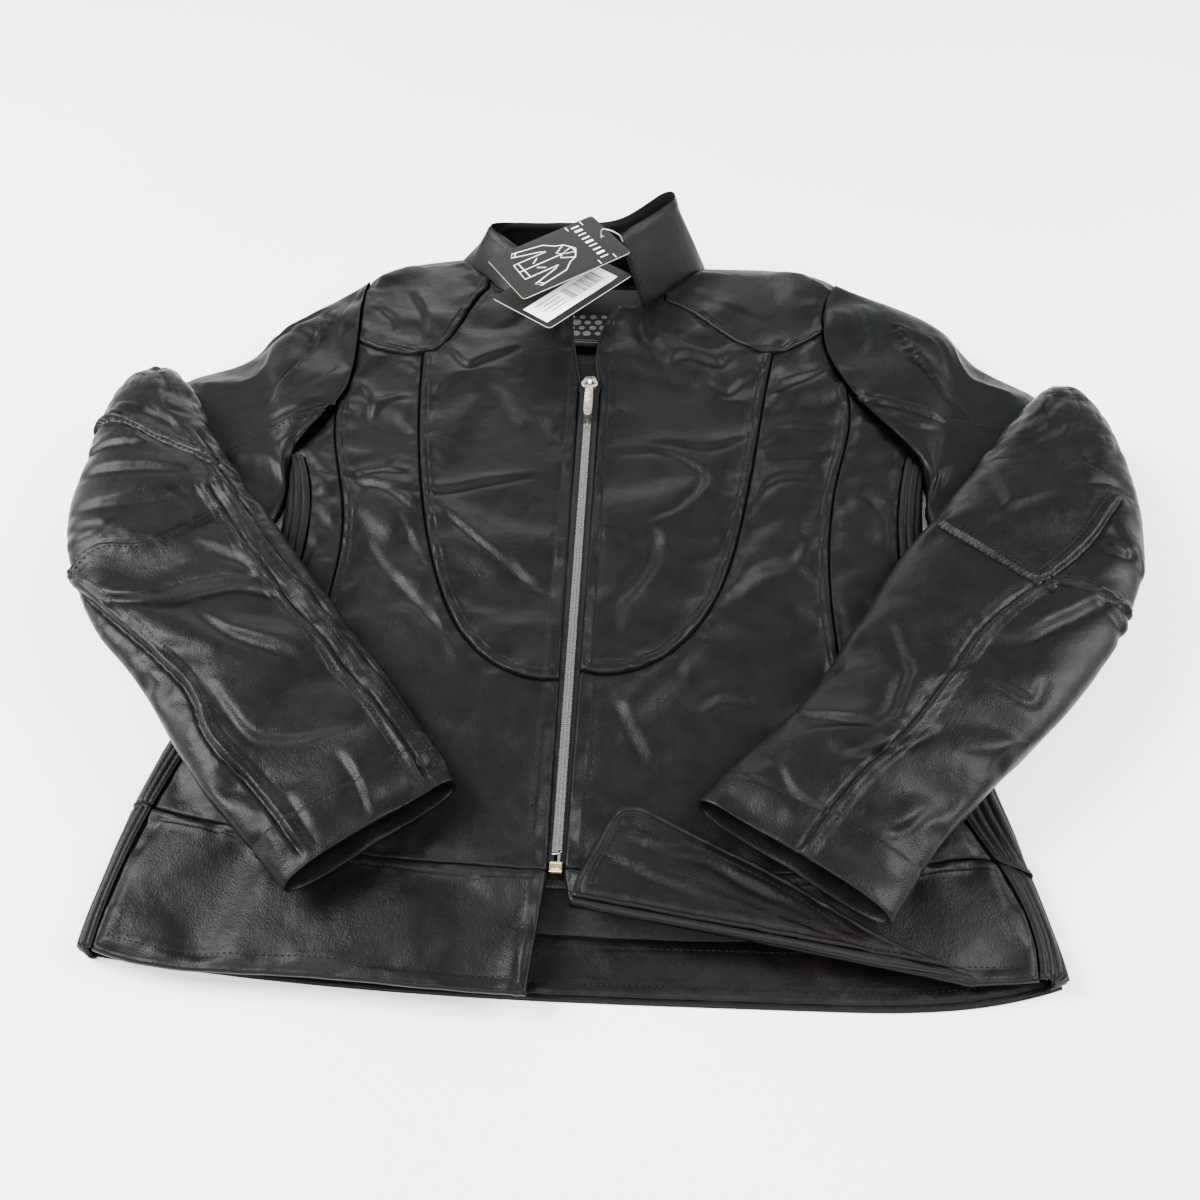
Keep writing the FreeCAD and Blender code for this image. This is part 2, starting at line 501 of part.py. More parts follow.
def plate_on(corner, along, across, up, length, width, thickness, corner_radius):
    points = [corner, corner + along * length, corner + along * length + across * width,
              corner + across * width]
    slab = Part.Face(Part.makePolygon(points + points[:1])).extrude(up * thickness)
    rims = [edge for edge in slab.Edges if abs(edge.Length - thickness) < 0.01]
    return slab.makeFillet(corner_radius, rims) if corner_radius else slab


def build_tags():
    length, width, thickness = CARD
    for name, placed in (("hang_tag_front", FRONT_CARD), ("hang_tag_back", BACK_CARD)):
        hole, along, across, up = card_frame(*placed)
        corner = hole - along * CARD_HOLE_INSET - across * width / 2
        card = plate_on(corner, along, across, up, length, width, thickness, CARD_CORNER)
        card = card.cut(Part.makeCylinder(CARD_HOLE, 2 * CARD_DRILL, hole - up * CARD_DRILL, up))
        save(name, card)
    start, offset, sticker_length, sticker_width, sticker = STICKER
    corner = corner + along * start + across * (offset - sticker_width) + up * thickness
    save("tag_sticker", plate_on(corner, along, across, up, sticker_length, sticker_width, sticker, 0))


def fastener_loop(radius):
    """The run of the plastic loop from the collar through both cards."""
    points = [Vector(*point) for point in FASTENER_POINTS]
    pieces = []
    for here, there in zip(points, points[1:]):
        pieces.append(Part.makeCylinder(radius, here.distanceToPoint(there), here, there - here))
        pieces.append(Part.makeSphere(radius, there))
    return pieces[0].fuse(pieces[1:])


def build_fastener():
    """The loop, with a bar across its free end."""
    length, share = FASTENER_BAR
    start = Vector(*FASTENER_POINTS[-1]) - Vector(length / 2, 0, 0)
    bar = Part.makeCylinder(FASTENER * share, length, start, Vector(1, 0, 0))
    save("tag_fastener", fastener_loop(FASTENER / 2).fuse(bar))


build_back()
build_fronts()
build_hem_flap()
build_upper_arm("right", UPPER_ARM_RIGHT, ARMHOLE_RIGHT)
build_upper_arm("left", UPPER_ARM_LEFT, ARMHOLE_LEFT[::-1])
build_forearm("right", FOREARM_RIGHT, FOREARM_SEAM_RIGHT, ELBOW_SEAM_RIGHT)
build_forearm("left", FOREARM_LEFT, FOREARM_SEAM_LEFT, ELBOW_SEAM_LEFT)
build_zip()
build_slider()
build_pull()
build_collar(fastener_loop(FASTENER_HOLE))
build_tags()
build_fastener()
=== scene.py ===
import math
import random

import bmesh
import bpy
import numpy as np
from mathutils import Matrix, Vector, geometry
from mathutils.bvhtree import BVHTree


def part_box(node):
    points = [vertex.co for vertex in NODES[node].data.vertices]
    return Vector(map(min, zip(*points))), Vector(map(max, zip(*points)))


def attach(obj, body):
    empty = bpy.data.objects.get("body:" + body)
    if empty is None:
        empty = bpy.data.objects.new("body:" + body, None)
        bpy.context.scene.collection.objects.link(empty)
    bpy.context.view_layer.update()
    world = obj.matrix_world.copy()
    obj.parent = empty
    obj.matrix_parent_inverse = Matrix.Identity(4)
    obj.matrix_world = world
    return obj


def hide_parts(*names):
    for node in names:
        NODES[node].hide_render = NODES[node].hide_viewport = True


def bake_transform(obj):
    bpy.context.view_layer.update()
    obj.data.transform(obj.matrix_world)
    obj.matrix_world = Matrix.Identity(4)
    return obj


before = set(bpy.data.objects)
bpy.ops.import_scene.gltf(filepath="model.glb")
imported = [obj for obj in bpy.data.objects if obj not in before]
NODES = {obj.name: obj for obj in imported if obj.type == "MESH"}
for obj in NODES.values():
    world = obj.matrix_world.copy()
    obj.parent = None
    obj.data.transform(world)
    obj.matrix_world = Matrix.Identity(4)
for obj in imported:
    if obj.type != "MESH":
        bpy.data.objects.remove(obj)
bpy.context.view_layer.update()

# Leather zip jacket lying on its back. Metres, +Z up, hem towards -Y, collar towards +Y.
# "right" and "left" are the wearer's: the wearer's right is at -X.

MM = 0.001
SIDES = ("right", "left")
OUT = {"right": -1, "left": 1}               # which way along X is away from the zip
FRONT_PANELS = ("yoke", "front_bib", "front_panel", "side_panel", "hem_band")
ZIP_X = 0.5 * (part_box("zip_teeth_right")[0].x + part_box("zip_teeth_left")[1].x)
PLY = 1.3 * MM               # visible thickness of a leather edge
CLOTH_PLY = 0.7 * MM         # the same for the lining's cloth
GRID = 2.4 * MM              # spacing of a panel's inner points
EDGE_ROWS = (0.6, 1.2, 1.9, 2.8, 3.8, 4.8, 5.6, 6.4, 7.4, 8.8)     # extra rows of points beside an edge, in mm
CHUNK = 4000                 # points handled at a time
FAR = 1.0                    # a distance, or a height, beyond the whole jacket
ABOVE = 0.3                  # a height above the whole jacket
DOWN = Vector((0, 0, -1))


# ---------------------------------------------------------------- plain mesh helpers

def add_mesh(name, points, faces, material, body, smooth=True):
    mesh = bpy.data.meshes.new(name)
    mesh.from_pydata([tuple(p) for p in points], [], [tuple(f) for f in faces])
    mesh.validate()
    mesh.polygons.foreach_set("use_smooth", [smooth] * len(mesh.polygons))
    piece = bpy.data.objects.new(name, mesh)
    bpy.context.scene.collection.objects.link(piece)
    mesh.materials.append(material)
    if body:
        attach(piece, body)
    return piece


def bake_modifiers(piece):
    """Puts a piece's modifiers into its mesh."""
    bpy.context.view_layer.update()
    made = bpy.data.meshes.new_from_object(piece.evaluated_get(bpy.context.evaluated_depsgraph_get()))
    piece.modifiers.clear()
    piece.data = made


def thicken(piece, depth):
    """Gives an open sheet its thickness, inwards."""
    solid = piece.modifiers.new("ply", "SOLIDIFY")
    solid.thickness, solid.offset, solid.use_quality_normals = depth, -1.0, True
    bake_modifiers(piece)


def rounded(piece, width):
    """Rounds a piece's sharp edges."""
    bevel = piece.modifiers.new("round", "BEVEL")
    bevel.width, bevel.segments, bevel.limit_method = width, 3, "ANGLE"
    bevel.angle_limit = math.radians(35)
    bevel.harden_normals = False
    bake_modifiers(piece)


def make_outward(piece):
    work = bmesh.new()
    work.from_mesh(piece.data)
    bmesh.ops.recalc_face_normals(work, faces=work.faces)
    work.to_mesh(piece.data)
    work.free()


def band(first, second, around):
    """Quads between two closed rings of points."""
    return [(first + k, first + (k + 1) % around, second + (k + 1) % around, second + k) for k in range(around)]


def tube_faces(rings, around):
    return [face for i in range(rings - 1) for face in band(i * around, (i + 1) * around, around)]


def grid_faces(rows, columns):
    return [(i * columns + k, i * columns + k + 1, (i + 1) * columns + k + 1, (i + 1) * columns + k)
            for i in range(rows - 1) for k in range(columns - 1)]


def turned_over(faces):
    """The same quads facing the other way, each still starting at its first corner."""
    return [(a, d, c, b) for a, b, c, d in faces]


def close_sheet(faces, count):
    """Faces of a closed sheet: its top, its underside count points further on, and its rim."""
    rim = {}
    for face in faces:
        for i, j in zip(face, face[1:] + face[:1]):
            if (j, i) in rim:
                del rim[(j, i)]
            else:
                rim[(i, j)] = True
    return faces + [tuple(i + count for i in face[::-1]) for face in faces] + \
        [(j, i, i + count, j + count) for i, j in rim]


def slab(points, faces, ring, low, high):
    """Adds a prism over a plan ring to the lists."""
    start, count = len(points), len(ring)
    points += [(x, y, low) for x, y in ring] + [(x, y, high) for x, y in ring]
    faces.append(tuple(start + k for k in range(count))[::-1])
    faces.append(tuple(start + count + k for k in range(count)))
    faces += band(start, start + count, count)


def bevelled_block(points, faces, low, high, bevel):
    """Adds a block with chamfered top and bottom rims to the lists."""
    (x0, y0, z0), (x1, y1, z1) = low, high
    start = len(points)
    for z, inset in ((z0, bevel), (z0 + bevel, 0), (z1 - bevel, 0), (z1, bevel)):
        points += [(x0 + inset, y0 + inset, z), (x1 - inset, y0 + inset, z), (x1 - inset, y1 - inset, z),
                   (x0 + inset, y1 - inset, z)]
    faces.append((start + 3, start + 2, start + 1, start))
    for ring in range(3):
        faces += band(start + 4 * ring, start + 4 * ring + 4, 4)
    faces.append((start + 12, start + 13, start + 14, start + 15))


def triangles(names):
    """Vertices and triangles of several CAD nodes together."""
    points, faces = [], []
    for name in names:
        mesh = NODES[name].data
        mesh.calc_loop_triangles()
        start = len(points)
        points += [v.co.copy() for v in mesh.vertices]
        faces += [tuple(start + i for i in t.vertices) for t in mesh.loop_triangles]
    return points, faces


def mesh_tree(piece):
    mesh = piece.data
    return BVHTree.FromPolygons([v.co for v in mesh.vertices], [tuple(p.vertices) for p in mesh.polygons])


def below(tree, x, y):
    """What a tree has at a plan point, seen from above: (place, normal, index, distance)."""
    return tree.ray_cast(Vector((x, y, ABOVE)), DOWN)


# ---------------------------------------------------------------- lines in plan

def travelled(line):
    """Distance along a line to each of its points."""
    return np.r_[0, np.cumsum(np.linalg.norm(np.diff(line, axis=0), axis=1))]


def sampled(at, where, rows):
    """Rows of an array, interpolated at some distances."""
    return np.stack([np.interp(at, where, rows[:, k]) for k in range(rows.shape[1])], 1)


def unit(vectors):
    return vectors / np.maximum(np.linalg.norm(vectors, axis=-1), 1e-9)[..., None]


def left_of(directions):
    """Plan directions turned a quarter turn anticlockwise."""
    return np.stack([-directions[:, 1], directions[:, 0]], 1)


def area_of(loop):
    x, y = loop[:, 0], loop[:, 1]
    return 0.5 * float(np.sum(x * np.roll(y, -1) - np.roll(x, -1) * y))


def smoothstep(low, high, value):
    t = np.clip((value - low) / (high - low), 0, 1)
    return t * t * (3 - 2 * t)


def dip(d, width):
    """1 at distance 0, falling to 0 beyond the width."""
    return np.exp(-(d / width) ** 2)


def plan_outline(name):
    """The node's outline seen from above, anticlockwise, as an n by 2 array."""
    points, faces = triangles([name])
    keys, where, used = {}, [], {}
    for p in points:
        where.append(keys.setdefault((round(p.x * 2e4), round(p.y * 2e4)), len(keys)))
    flat = {index: np.array(key) / 2e4 for key, index in keys.items()}
    for face in faces:
        if geometry.normal([points[i] for i in face]).z < 0.3:
            continue
        ring = [where[i] for i in face]
        if len(set(ring)) == 3:
            for i, j in zip(ring, ring[1:] + ring[:1]):
                used[(i, j)] = True
    follow = {}
    for i, j in used:
        if (j, i) not in used:
            follow.setdefault(i, []).append(j)
    loops = []
    while follow:
        start = here = next(iter(follow))
        loop = [start]
        while here in follow:
            there = follow[here].pop()
            if not follow[here]:
                del follow[here]
            if there == start:
                break
            loop.append(there)
            here = there
        loops.append(np.array([flat[i] for i in loop]))
    return max(loops, key=lambda loop: abs(area_of(loop)))


def resample(loop, spacing, corner=math.radians(28)):
    """Evenly spaced points along a closed line that keep its corners."""
    count = len(loop)
    before, after = loop - np.roll(loop, 1, 0), np.roll(loop, -1, 0) - loop
    turn = np.abs(np.arctan2(before[:, 0] * after[:, 1] - before[:, 1] * after[:, 0], (before * after).sum(1)))
    corners = [i for i in range(count) if turn[i] > corner] or [0]
    result = []
    for a, b in zip(corners, corners[1:] + corners[:1]):
        run = np.array([loop[k % count] for k in range(a, (b if b > a else b + count) + 1)])
        step = travelled(run)
        if step[-1] < 1e-6:
            continue
        pieces = max(1, int(round(step[-1] / spacing)))
        result.append(sampled(np.linspace(0, step[-1], pieces + 1), step, run)[:-1])
    return np.concatenate(result)


def distance_to(points, line, is_closed=True):
    """Distance from each point to a polyline."""
    a, b = (line, np.roll(line, -1, 0)) if is_closed else (line[:-1], line[1:])
    ab = b - a
    length2 = np.maximum((ab ** 2).sum(1), 1e-18)
    best = np.empty(len(points))
    for low in range(0, len(points), CHUNK):
        p = points[low:low + CHUNK, None, :]
        t = np.clip(((p - a) * ab).sum(2) / length2, 0, 1)
        gap = p - (a + t[..., None] * ab)
        best[low:low + CHUNK] = np.sqrt((gap ** 2).sum(2).min(1))
    return best


def along_line(points, line):
    """Signed distance to an open polyline, left of it positive, and the share of the way along."""
    a, ab = line[:-1], np.diff(line, axis=0)
    length = np.maximum(np.linalg.norm(ab, axis=1), 1e-9)
    start = np.r_[0, np.cumsum(length)]
    signed, share = np.empty(len(points)), np.empty(len(points))
    for low in range(0, len(points), CHUNK):
        p = points[low:low + CHUNK, None, :] - a
        t = np.clip((p * ab).sum(2) / length ** 2, 0, 1)
        far = np.sqrt(((p - t[..., None] * ab) ** 2).sum(2))
        best = far.argmin(1)
        rows = np.arange(len(best))
        side = ab[best, 0] * p[rows, best, 1] - ab[best, 1] * p[rows, best, 0]
        signed[low:low + CHUNK] = np.where(side >= 0, 1, -1) * far[rows, best]
        share[low:low + CHUNK] = (start[best] + t[rows, best] * length[best]) / start[-1]
    return signed, share


def inside(points, loop):
    x, y = points[:, 0:1], points[:, 1:2]
    x0, y0 = loop[:, 0], loop[:, 1]
    x1, y1 = np.roll(x0, -1), np.roll(y0, -1)
    crosses = (y0 > y) != (y1 > y)
    dy = np.where(np.abs(y1 - y0) < 1e-12, 1e-12, y1 - y0)
    at = (x1 - x0) * (y - y0) / dy + x0
    return (np.sum(crosses & (x < at), 1) % 2) == 1


def bicubic(grid, u, v, wrap_v=False):
    """Smooth samples of an array of numbers or vectors at fractional rows u and columns v."""
    rows, cols = grid.shape[:2]

    def weights(t):
        return (-0.5 * t ** 3 + t ** 2 - 0.5 * t, 1.5 * t ** 3 - 2.5 * t ** 2 + 1,
                -1.5 * t ** 3 + 2 * t ** 2 + 0.5 * t, 0.5 * t ** 3 - 0.5 * t ** 2)

    iu, iv = np.floor(u).astype(int), np.floor(v).astype(int)
    wu, wv = weights(u - iu), weights(v - iv)
    total = 0.0
    for a in range(4):
        row = np.clip(iu + a - 1, 0, rows - 1)
        for b in range(4):
            col = (iv + b - 1) % cols if wrap_v else np.clip(iv + b - 1, 0, cols - 1)
            weight = wu[a] * wv[b]
            value = grid[row, col]
            total = total + (weight[..., None] if value.ndim > weight.ndim else weight) * value
    return total


def through(rows, at):
    """Places on a smooth curve through a few rows; the first row is at 1."""
    padded = np.concatenate([2 * rows[:1] - rows[1:2], rows, 2 * rows[-1:] - rows[-2:-1]])
    return bicubic(padded[:, None, :], at, np.zeros_like(at))


def curve(points, count):
    """Evenly spaced rows along a smooth curve through a few points given in mm."""
    dense = through(np.array(points, float) * MM, np.linspace(0, len(points) - 1, 40 * len(points)) + 1)
    step = travelled(dense)
    return sampled(np.linspace(0, step[-1], count), step, dense)


# ---------------------------------------------------------------- smooth noise

class Noise:
    """Seeded smooth noise for arrays of plan points."""

    def __init__(self, seed):
        self.table = np.random.RandomState(seed).uniform(-1, 1, (64, 64))

    def at(self, x, y):
        xi, yi = np.floor(x).astype(int), np.floor(y).astype(int)
        fx, fy = x - xi, y - yi
        fx, fy = fx * fx * (3 - 2 * fx), fy * fy * (3 - 2 * fy)
        t = self.table
        a, b = t[xi % 64, yi % 64], t[(xi + 1) % 64, yi % 64]
        c, d = t[xi % 64, (yi + 1) % 64], t[(xi + 1) % 64, (yi + 1) % 64]
        return (a * (1 - fx) + b * fx) * (1 - fy) + (c * (1 - fx) + d * fx) * fy

    def one(self, x, y):
        """The noise at a single place."""
        return float(self.at(np.array(x), np.array(y)))

    def sum(self, x, y, size, octaves=3):
        total, weight = 0.0, 1.0
        for k in range(octaves):
            total = total + weight * self.at(x / size + 17.3 * k, y / size + 5.1 * k)
            size, weight = size / 2.03, weight * 0.5
        return total

    def over(self, plan, size, octaves=2):
        """The same sum at plan points."""
        return self.sum(plan[:, 0], plan[:, 1], size, octaves)

    def ridges(self, x, y, size, octaves=2):
        """Thin crease lines: 1 on the line, falling to 0 beside it."""
        total, weight = 0.0, 1.0
        for k in range(octaves):
            total = total + weight * (1 - np.abs(self.at(x / size + 9.7 * k, y / size + 3.3 * k))) ** 4
            size, weight = size / 1.9, weight * 0.5
        return total


ROUGH, FINE, CREASE = Noise(11), Noise(23), Noise(37)


# ---------------------------------------------------------------- leather relief

STITCH_INSET = 5.6 * MM      # from a seam to its topstitching
STITCH_PITCH = 3.2 * MM

# Creases that the leather holds, as (points in mm, width in mm, height in mm). A crease is a dip with a
# raised lip on its left.
CREASES_RIGHT = [
    ([(-146, 19), (-125, 17), (-92, 25), (-45, 36)], 3.4, 3.2),
    ([(-194, 35), (-173, 33), (-156, 36), (-130, 33)], 3.2, 3.0),
    ([(-108, 8), (-87, -17), (-58, -46), (-34, -62)], 3.6, 2.2),
    ([(-170, 29), (-147, 17), (-122, 0), (-103, -13)], 4.0, 2.3),
    ([(-155, -20), (-132, -49), (-111, -75), (-93, -102), (-85, -128)], 5.0, 2.0),
    ([(-134, 4), (-118, -28), (-106, -52)], 3.4, 1.9),
    ([(-122, 164), (-104, 144), (-90, 152), (-66, 171)], 4.2, 3.0),
    ([(-126, 112), (-110, 130), (-86, 137), (-60, 134)], 4.0, 1.9),
    ([(-183, 134), (-170, 110), (-167, 86)], 3.2, 2.0),
    ([(-164, 90), (-154, 106), (-136, 112)], 3.4, 1.8),
    ([(-161, 247), (-146, 216), (-143, 186)], 5.0, 3.2),
    ([(-184, 226), (-168, 208), (-166, 188)], 4.0, 2.2),
    ([(-62, -30), (-45, -60), (-24, -74)], 5.0, 1.6),
    ([(-36, 170), (-28, 150), (-24, 120)], 5.5, 2.0),
    ([(-210, -60), (-190, -82), (-176, -110)], 5.5, 2.4),
    ([(-205, -5), (-192, -20), (-180, -45)], 5.0, 2.4),
    ([(-120, -150), (-90, -170), (-50, -178)], 8.0, 1.6),
]
CREASES_LEFT = [
    ([(16, 226), (27, 192), (42, 148)], 6.5, 4.6),
    ([(94, 192), (79, 178), (54, 186), (30, 214)], 6.0, 3.2),
    ([(40, 150), (59, 160), (82, 152), (92, 172)], 5.0, 3.4),
    ([(68, 135), (86, 124), (100, 140)], 4.0, 2.6),
    ([(4, 62), (35, 64), (66, 43), (52, 8), (30, -6)], 4.0, 2.2),
    ([(26, 73), (56, 69), (90, 74), (104, 85)], 4.6, 2.2),
    ([(34, -10), (31, -36), (15, -76), (10, -100)], 7.0, 3.4),
    ([(112, 128), (134, 139), (160, 157)], 4.2, 3.6),
    ([(115, 91), (134, 96), (152, 93)], 4.2, 2.2),
    ([(95, 2), (106, 24), (119, 35), (143, 37)], 4.6, 2.2),
    ([(82, -68), (102, -48), (124, -38), (138, -8)], 6.0, 2.2),
    ([(8, -142), (24, -168), (30, -190)], 8.0, 3.0),
    ([(62, -155), (76, -144), (92, -147)], 5.0, 2.2),
    ([(112, 60), (130, 62), (150, 56)], 5.0, 1.6),
    ([(170, 40), (180, 10), (178, -40)], 6.0, 2.8),
    ([(158, -60), (172, -84), (180, -120)], 6.0, 2.4),
    ([(60, 250), (84, 232), (118, 215)], 6.0, 1.4),
]


def crease_height(plan, creases):
    total = np.zeros(len(plan))
    for points, width, height in creases:
        line = curve(points, 24)
        low, high = line.min(0) - 6 * width * MM, line.max(0) + 6 * width * MM
        near = np.all((plan > low) & (plan < high), 1)
        if not near.any():
            continue
        signed, share = along_line(plan[near], line)
        wander = 0.5 * width * ROUGH.at(plan[near][:, 0] / (24 * MM), plan[near][:, 1] / (24 * MM))
        d = signed / MM + wander
        taper = np.clip(4 * share * (1 - share), 0, 1) ** 0.6
        crest = d - 1.1 * width
        lip = np.where(crest > 0, dip(crest, 1.9 * width), dip(crest, 0.6 * width))
        back = dip(d + 2.4 * width, 2.4 * width)
        total[near] += height * MM * taper * (0.72 * lip + 0.35 * back - 0.45 * dip(d, 0.75 * width))
    return total


def hide_relief(plan):
    """Soft unevenness and small crinkles of a worn hide."""
    x, y = plan[:, 0], plan[:, 1]
    soft = ROUGH.sum(x, y, 55 * MM, 2) * 0.7
    crinkle = CREASE.ridges(x + 8 * MM * ROUGH.at(x / (30 * MM), y / (30 * MM)), y, 19 * MM)
    patch = smoothstep(-0.1, 0.7, FINE.at(x / (60 * MM) + 4, y / (60 * MM)))
    return MM * (soft - 0.34 * crinkle * (0.1 + patch) + 0.06 * FINE.sum(x, y, 6 * MM, 2))


def seam_band(d, rise=1.45):
    """A topstitched seam: the turned edge underneath lifts a band, and the stitches pull it in."""
    d = d / MM
    inset = STITCH_INSET / MM
    lift = smoothstep(0.0, 1.3, d) * (1 - smoothstep(inset + 0.5, inset + 2.6, d))
    return MM * (rise * lift - 0.8 * rise * dip(d - inset, 0.9))


def edge_roll(d, depth=1.7, width=1.7):
    return -depth * MM * np.clip(1 - d / (width * MM), 0, 1) ** 2


def puckers(plan, d, amount=0.42):
    """Short ripples that a seam's thread pulls into the leather."""
    x, y = plan[:, 0], plan[:, 1]
    ripple = FINE.at(x / (6.5 * MM), y / (6.5 * MM)) + 0.5 * FINE.at(x / (3.4 * MM) + 7, y / (3.4 * MM))
    return amount * MM * ripple * np.exp(-np.maximum(d / MM - 3, 0) / 8)


# ---------------------------------------------------------------- cloth simulation

FRONT_GROWTH, SLEEVE_GROWTH = 0.02, 0.014    # how much the leather grows between its seams, as a share
FRONT_FRAMES, SLEEVE_FRAMES = 24, 20
FRONT_CAP, SLEEVE_CAP = 2.6 * MM, 3.2 * MM   # the most that a buckle rises
FRONT_CELL, SLEEVE_CELL = 6.5 * MM, 7 * MM


def buckle(points, quads, pinned, growth, frames):
    """Positions after the sheet grows a little between its pinned seams, which makes it buckle."""
    mesh = bpy.data.meshes.new("buckle")
    mesh.from_pydata([tuple(p) for p in points], [], [tuple(q) for q in quads])
    sheet = bpy.data.objects.new("buckle", mesh)
    bpy.context.scene.collection.objects.link(sheet)
    group = sheet.vertex_groups.new(name="pin")
    group.add([int(i) for i in np.nonzero(pinned)[0]], 1.0, "REPLACE")
    cloth = sheet.modifiers.new("cloth", "CLOTH")
    settings = cloth.settings
    settings.quality = 5
    settings.mass = 0.4
    settings.tension_stiffness = settings.compression_stiffness = 25
    settings.shear_stiffness = 12
    settings.bending_stiffness = 35
    settings.air_damping = 2
    settings.vertex_group_mass = "pin"
    settings.shrink_min = -growth
    settings.effector_weights.gravity = 0
    cloth.collision_settings.use_self_collision = False
    cloth.point_cache.frame_start, cloth.point_cache.frame_end = 1, frames
    for frame_number in range(1, frames + 1):
        bpy.context.scene.frame_set(frame_number)
    settled = sheet.evaluated_get(bpy.context.evaluated_depsgraph_get()).to_mesh()
    result = np.empty(3 * len(settled.vertices))
    settled.vertices.foreach_get("co", result)
    bpy.data.objects.remove(sheet)
    bpy.context.scene.frame_set(1)
    return result.reshape(-1, 3)


def soft_cap(value, limit):
    return limit * np.tanh(value / limit)


class FrontBuckles:
    """How the leather of one front buckles between its seams, as a height over the plan."""

    def __init__(self, outlines):
        margin = 2 * FRONT_CELL
        everything = np.concatenate(outlines)
        self.low = everything.min(0) - margin
        cols, rows = np.ceil((everything.max(0) + margin - self.low) / FRONT_CELL).astype(int)
        self.height = np.zeros((rows, cols))
        gx, gy = np.meshgrid(np.arange(cols), np.arange(rows))
        plan = self.low + FRONT_CELL * np.stack([gx.ravel(), gy.ravel()], 1)
        within = np.zeros(len(plan), bool)
        seam = np.full(len(plan), FAR)
        for outline in outlines:
            within |= inside(plan, outline)
            seam = np.minimum(seam, distance_to(plan, outline))
        index = np.full(len(plan), -1)
        index[within] = np.arange(within.sum())
        quads = [(i, i + 1, i + 1 + cols, i + cols) for i in range(len(plan) - cols - 1)
                 if (i + 1) % cols and within[[i, i + 1, i + cols, i + cols + 1]].all()]
        start = 0.4 * MM * ROUGH.over(plan, 34 * MM)
        points = np.column_stack([plan, start])[within]
        pinned = seam[within] < 0.55 * FRONT_CELL
        settled = buckle(points, [[index[i] for i in quad] for quad in quads], pinned, FRONT_GROWTH, FRONT_FRAMES)
        self.height.ravel()[within] = soft_cap(0.7 * MM * (~pinned) + settled[:, 2], FRONT_CAP)

    def at(self, plan):
        uv = (plan - self.low) / FRONT_CELL
        return bicubic(self.height, uv[:, 1], uv[:, 0])


# ---------------------------------------------------------------- flat panels

class Top:
    """Height of the top of some CAD nodes over the plan."""

    def __init__(self, *names):
        self.tree = BVHTree.FromPolygons(*triangles(names))
        self.high = max(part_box(name)[1].z for name in names)

    def at(self, plan):
        heights = np.empty(len(plan))
        for i, (x, y) in enumerate(plan):
            hit = below(self.tree, x, y)[0]
            if hit is None:
                hit = self.tree.find_nearest(Vector((x, y, self.high)))[0]
            heights[i] = hit.z
        return heights


def panel_points(outline, spacing, rows):
    """Plan points of a panel: its outline, rows beside it and an even field inside. Outline first."""
    edge = resample(outline, spacing)
    if area_of(edge) < 0:
        edge = edge[::-1]
    inward = left_of(unit(np.roll(edge, -1, 0) - np.roll(edge, 1, 0)))
    fields = []
    for row in rows:
        ring = edge + inward * row * MM
        ring = ring[inside(ring, edge)]
        fields.append(ring[distance_to(ring, edge) > 0.93 * row * MM] if len(ring) else ring)
    low, high = edge.min(0), edge.max(0)
    gx, gy = np.meshgrid(np.arange(low[0], high[0], spacing), np.arange(low[1], high[1], spacing * 0.866))
    gx = gx + (np.arange(gx.shape[0]) % 2)[:, None] * 0.5 * spacing
    field = np.stack([gx.ravel(), gy.ravel()], 1)
    field = field[inside(field, edge)]
    if len(field):
        fields.append(field[distance_to(field, edge) > (rows[-1] * MM if rows else 0) + 0.6 * spacing])
    return edge, np.concatenate([edge] + [f for f in fields if len(f)])


def cut_panel(name, outline, height, material, body, spacing=GRID, ply=PLY, rows=EDGE_ROWS):
    """A closed sheet over a plan outline, with its top at height(plan, distance to the outline)."""
    edge, plan = panel_points(outline, spacing, rows)
    ring = [(i, (i + 1) % len(edge)) for i in range(len(edge))]
    made = geometry.delaunay_2d_cdt([Vector(p) for p in plan], ring, [], 1, 1e-6)
    plan = np.array([tuple(p) for p in made[0]])
    top = height(plan, distance_to(plan, edge))
    points = np.concatenate([np.column_stack([plan, top]), np.column_stack([plan, top - ply])])
    return add_mesh(name, points, close_sheet([tuple(f) for f in made[2]], len(plan)), material, body)


def seam_between(own, other):
    """The run of one panel's outline that lies along another's."""
    loop = resample(own, 1.5 * MM)
    near = distance_to(loop, other) < 0.9 * MM
    if not near.any() or near.all():
        return loop if near.all() else None
    start = int(np.nonzero(near & ~np.roll(near, 1))[0][0])
    loop, near = np.roll(loop, -start, 0), np.roll(near, -start)
    runs, run = [], []
    for point, on in zip(loop, near):
        if on:
            run.append(point)
        elif run:
            runs.append(run)
            run = []
    runs.append(run)
    return np.array(max(runs, key=len))


def drawn_in(line, inset, own):
    """A line moved sideways into a panel."""
    normal = left_of(unit(np.gradient(line, axis=0)))
    middle = len(line) // 2
    if not inside(line[middle:middle + 1] + normal[middle] * 2 * MM, own)[0]:
        normal = -normal
    moved = line + normal * inset
    return moved[inside(moved, own) & (distance_to(moved, own) > 0.8 * inset)]


# ---------------------------------------------------------------- stitches

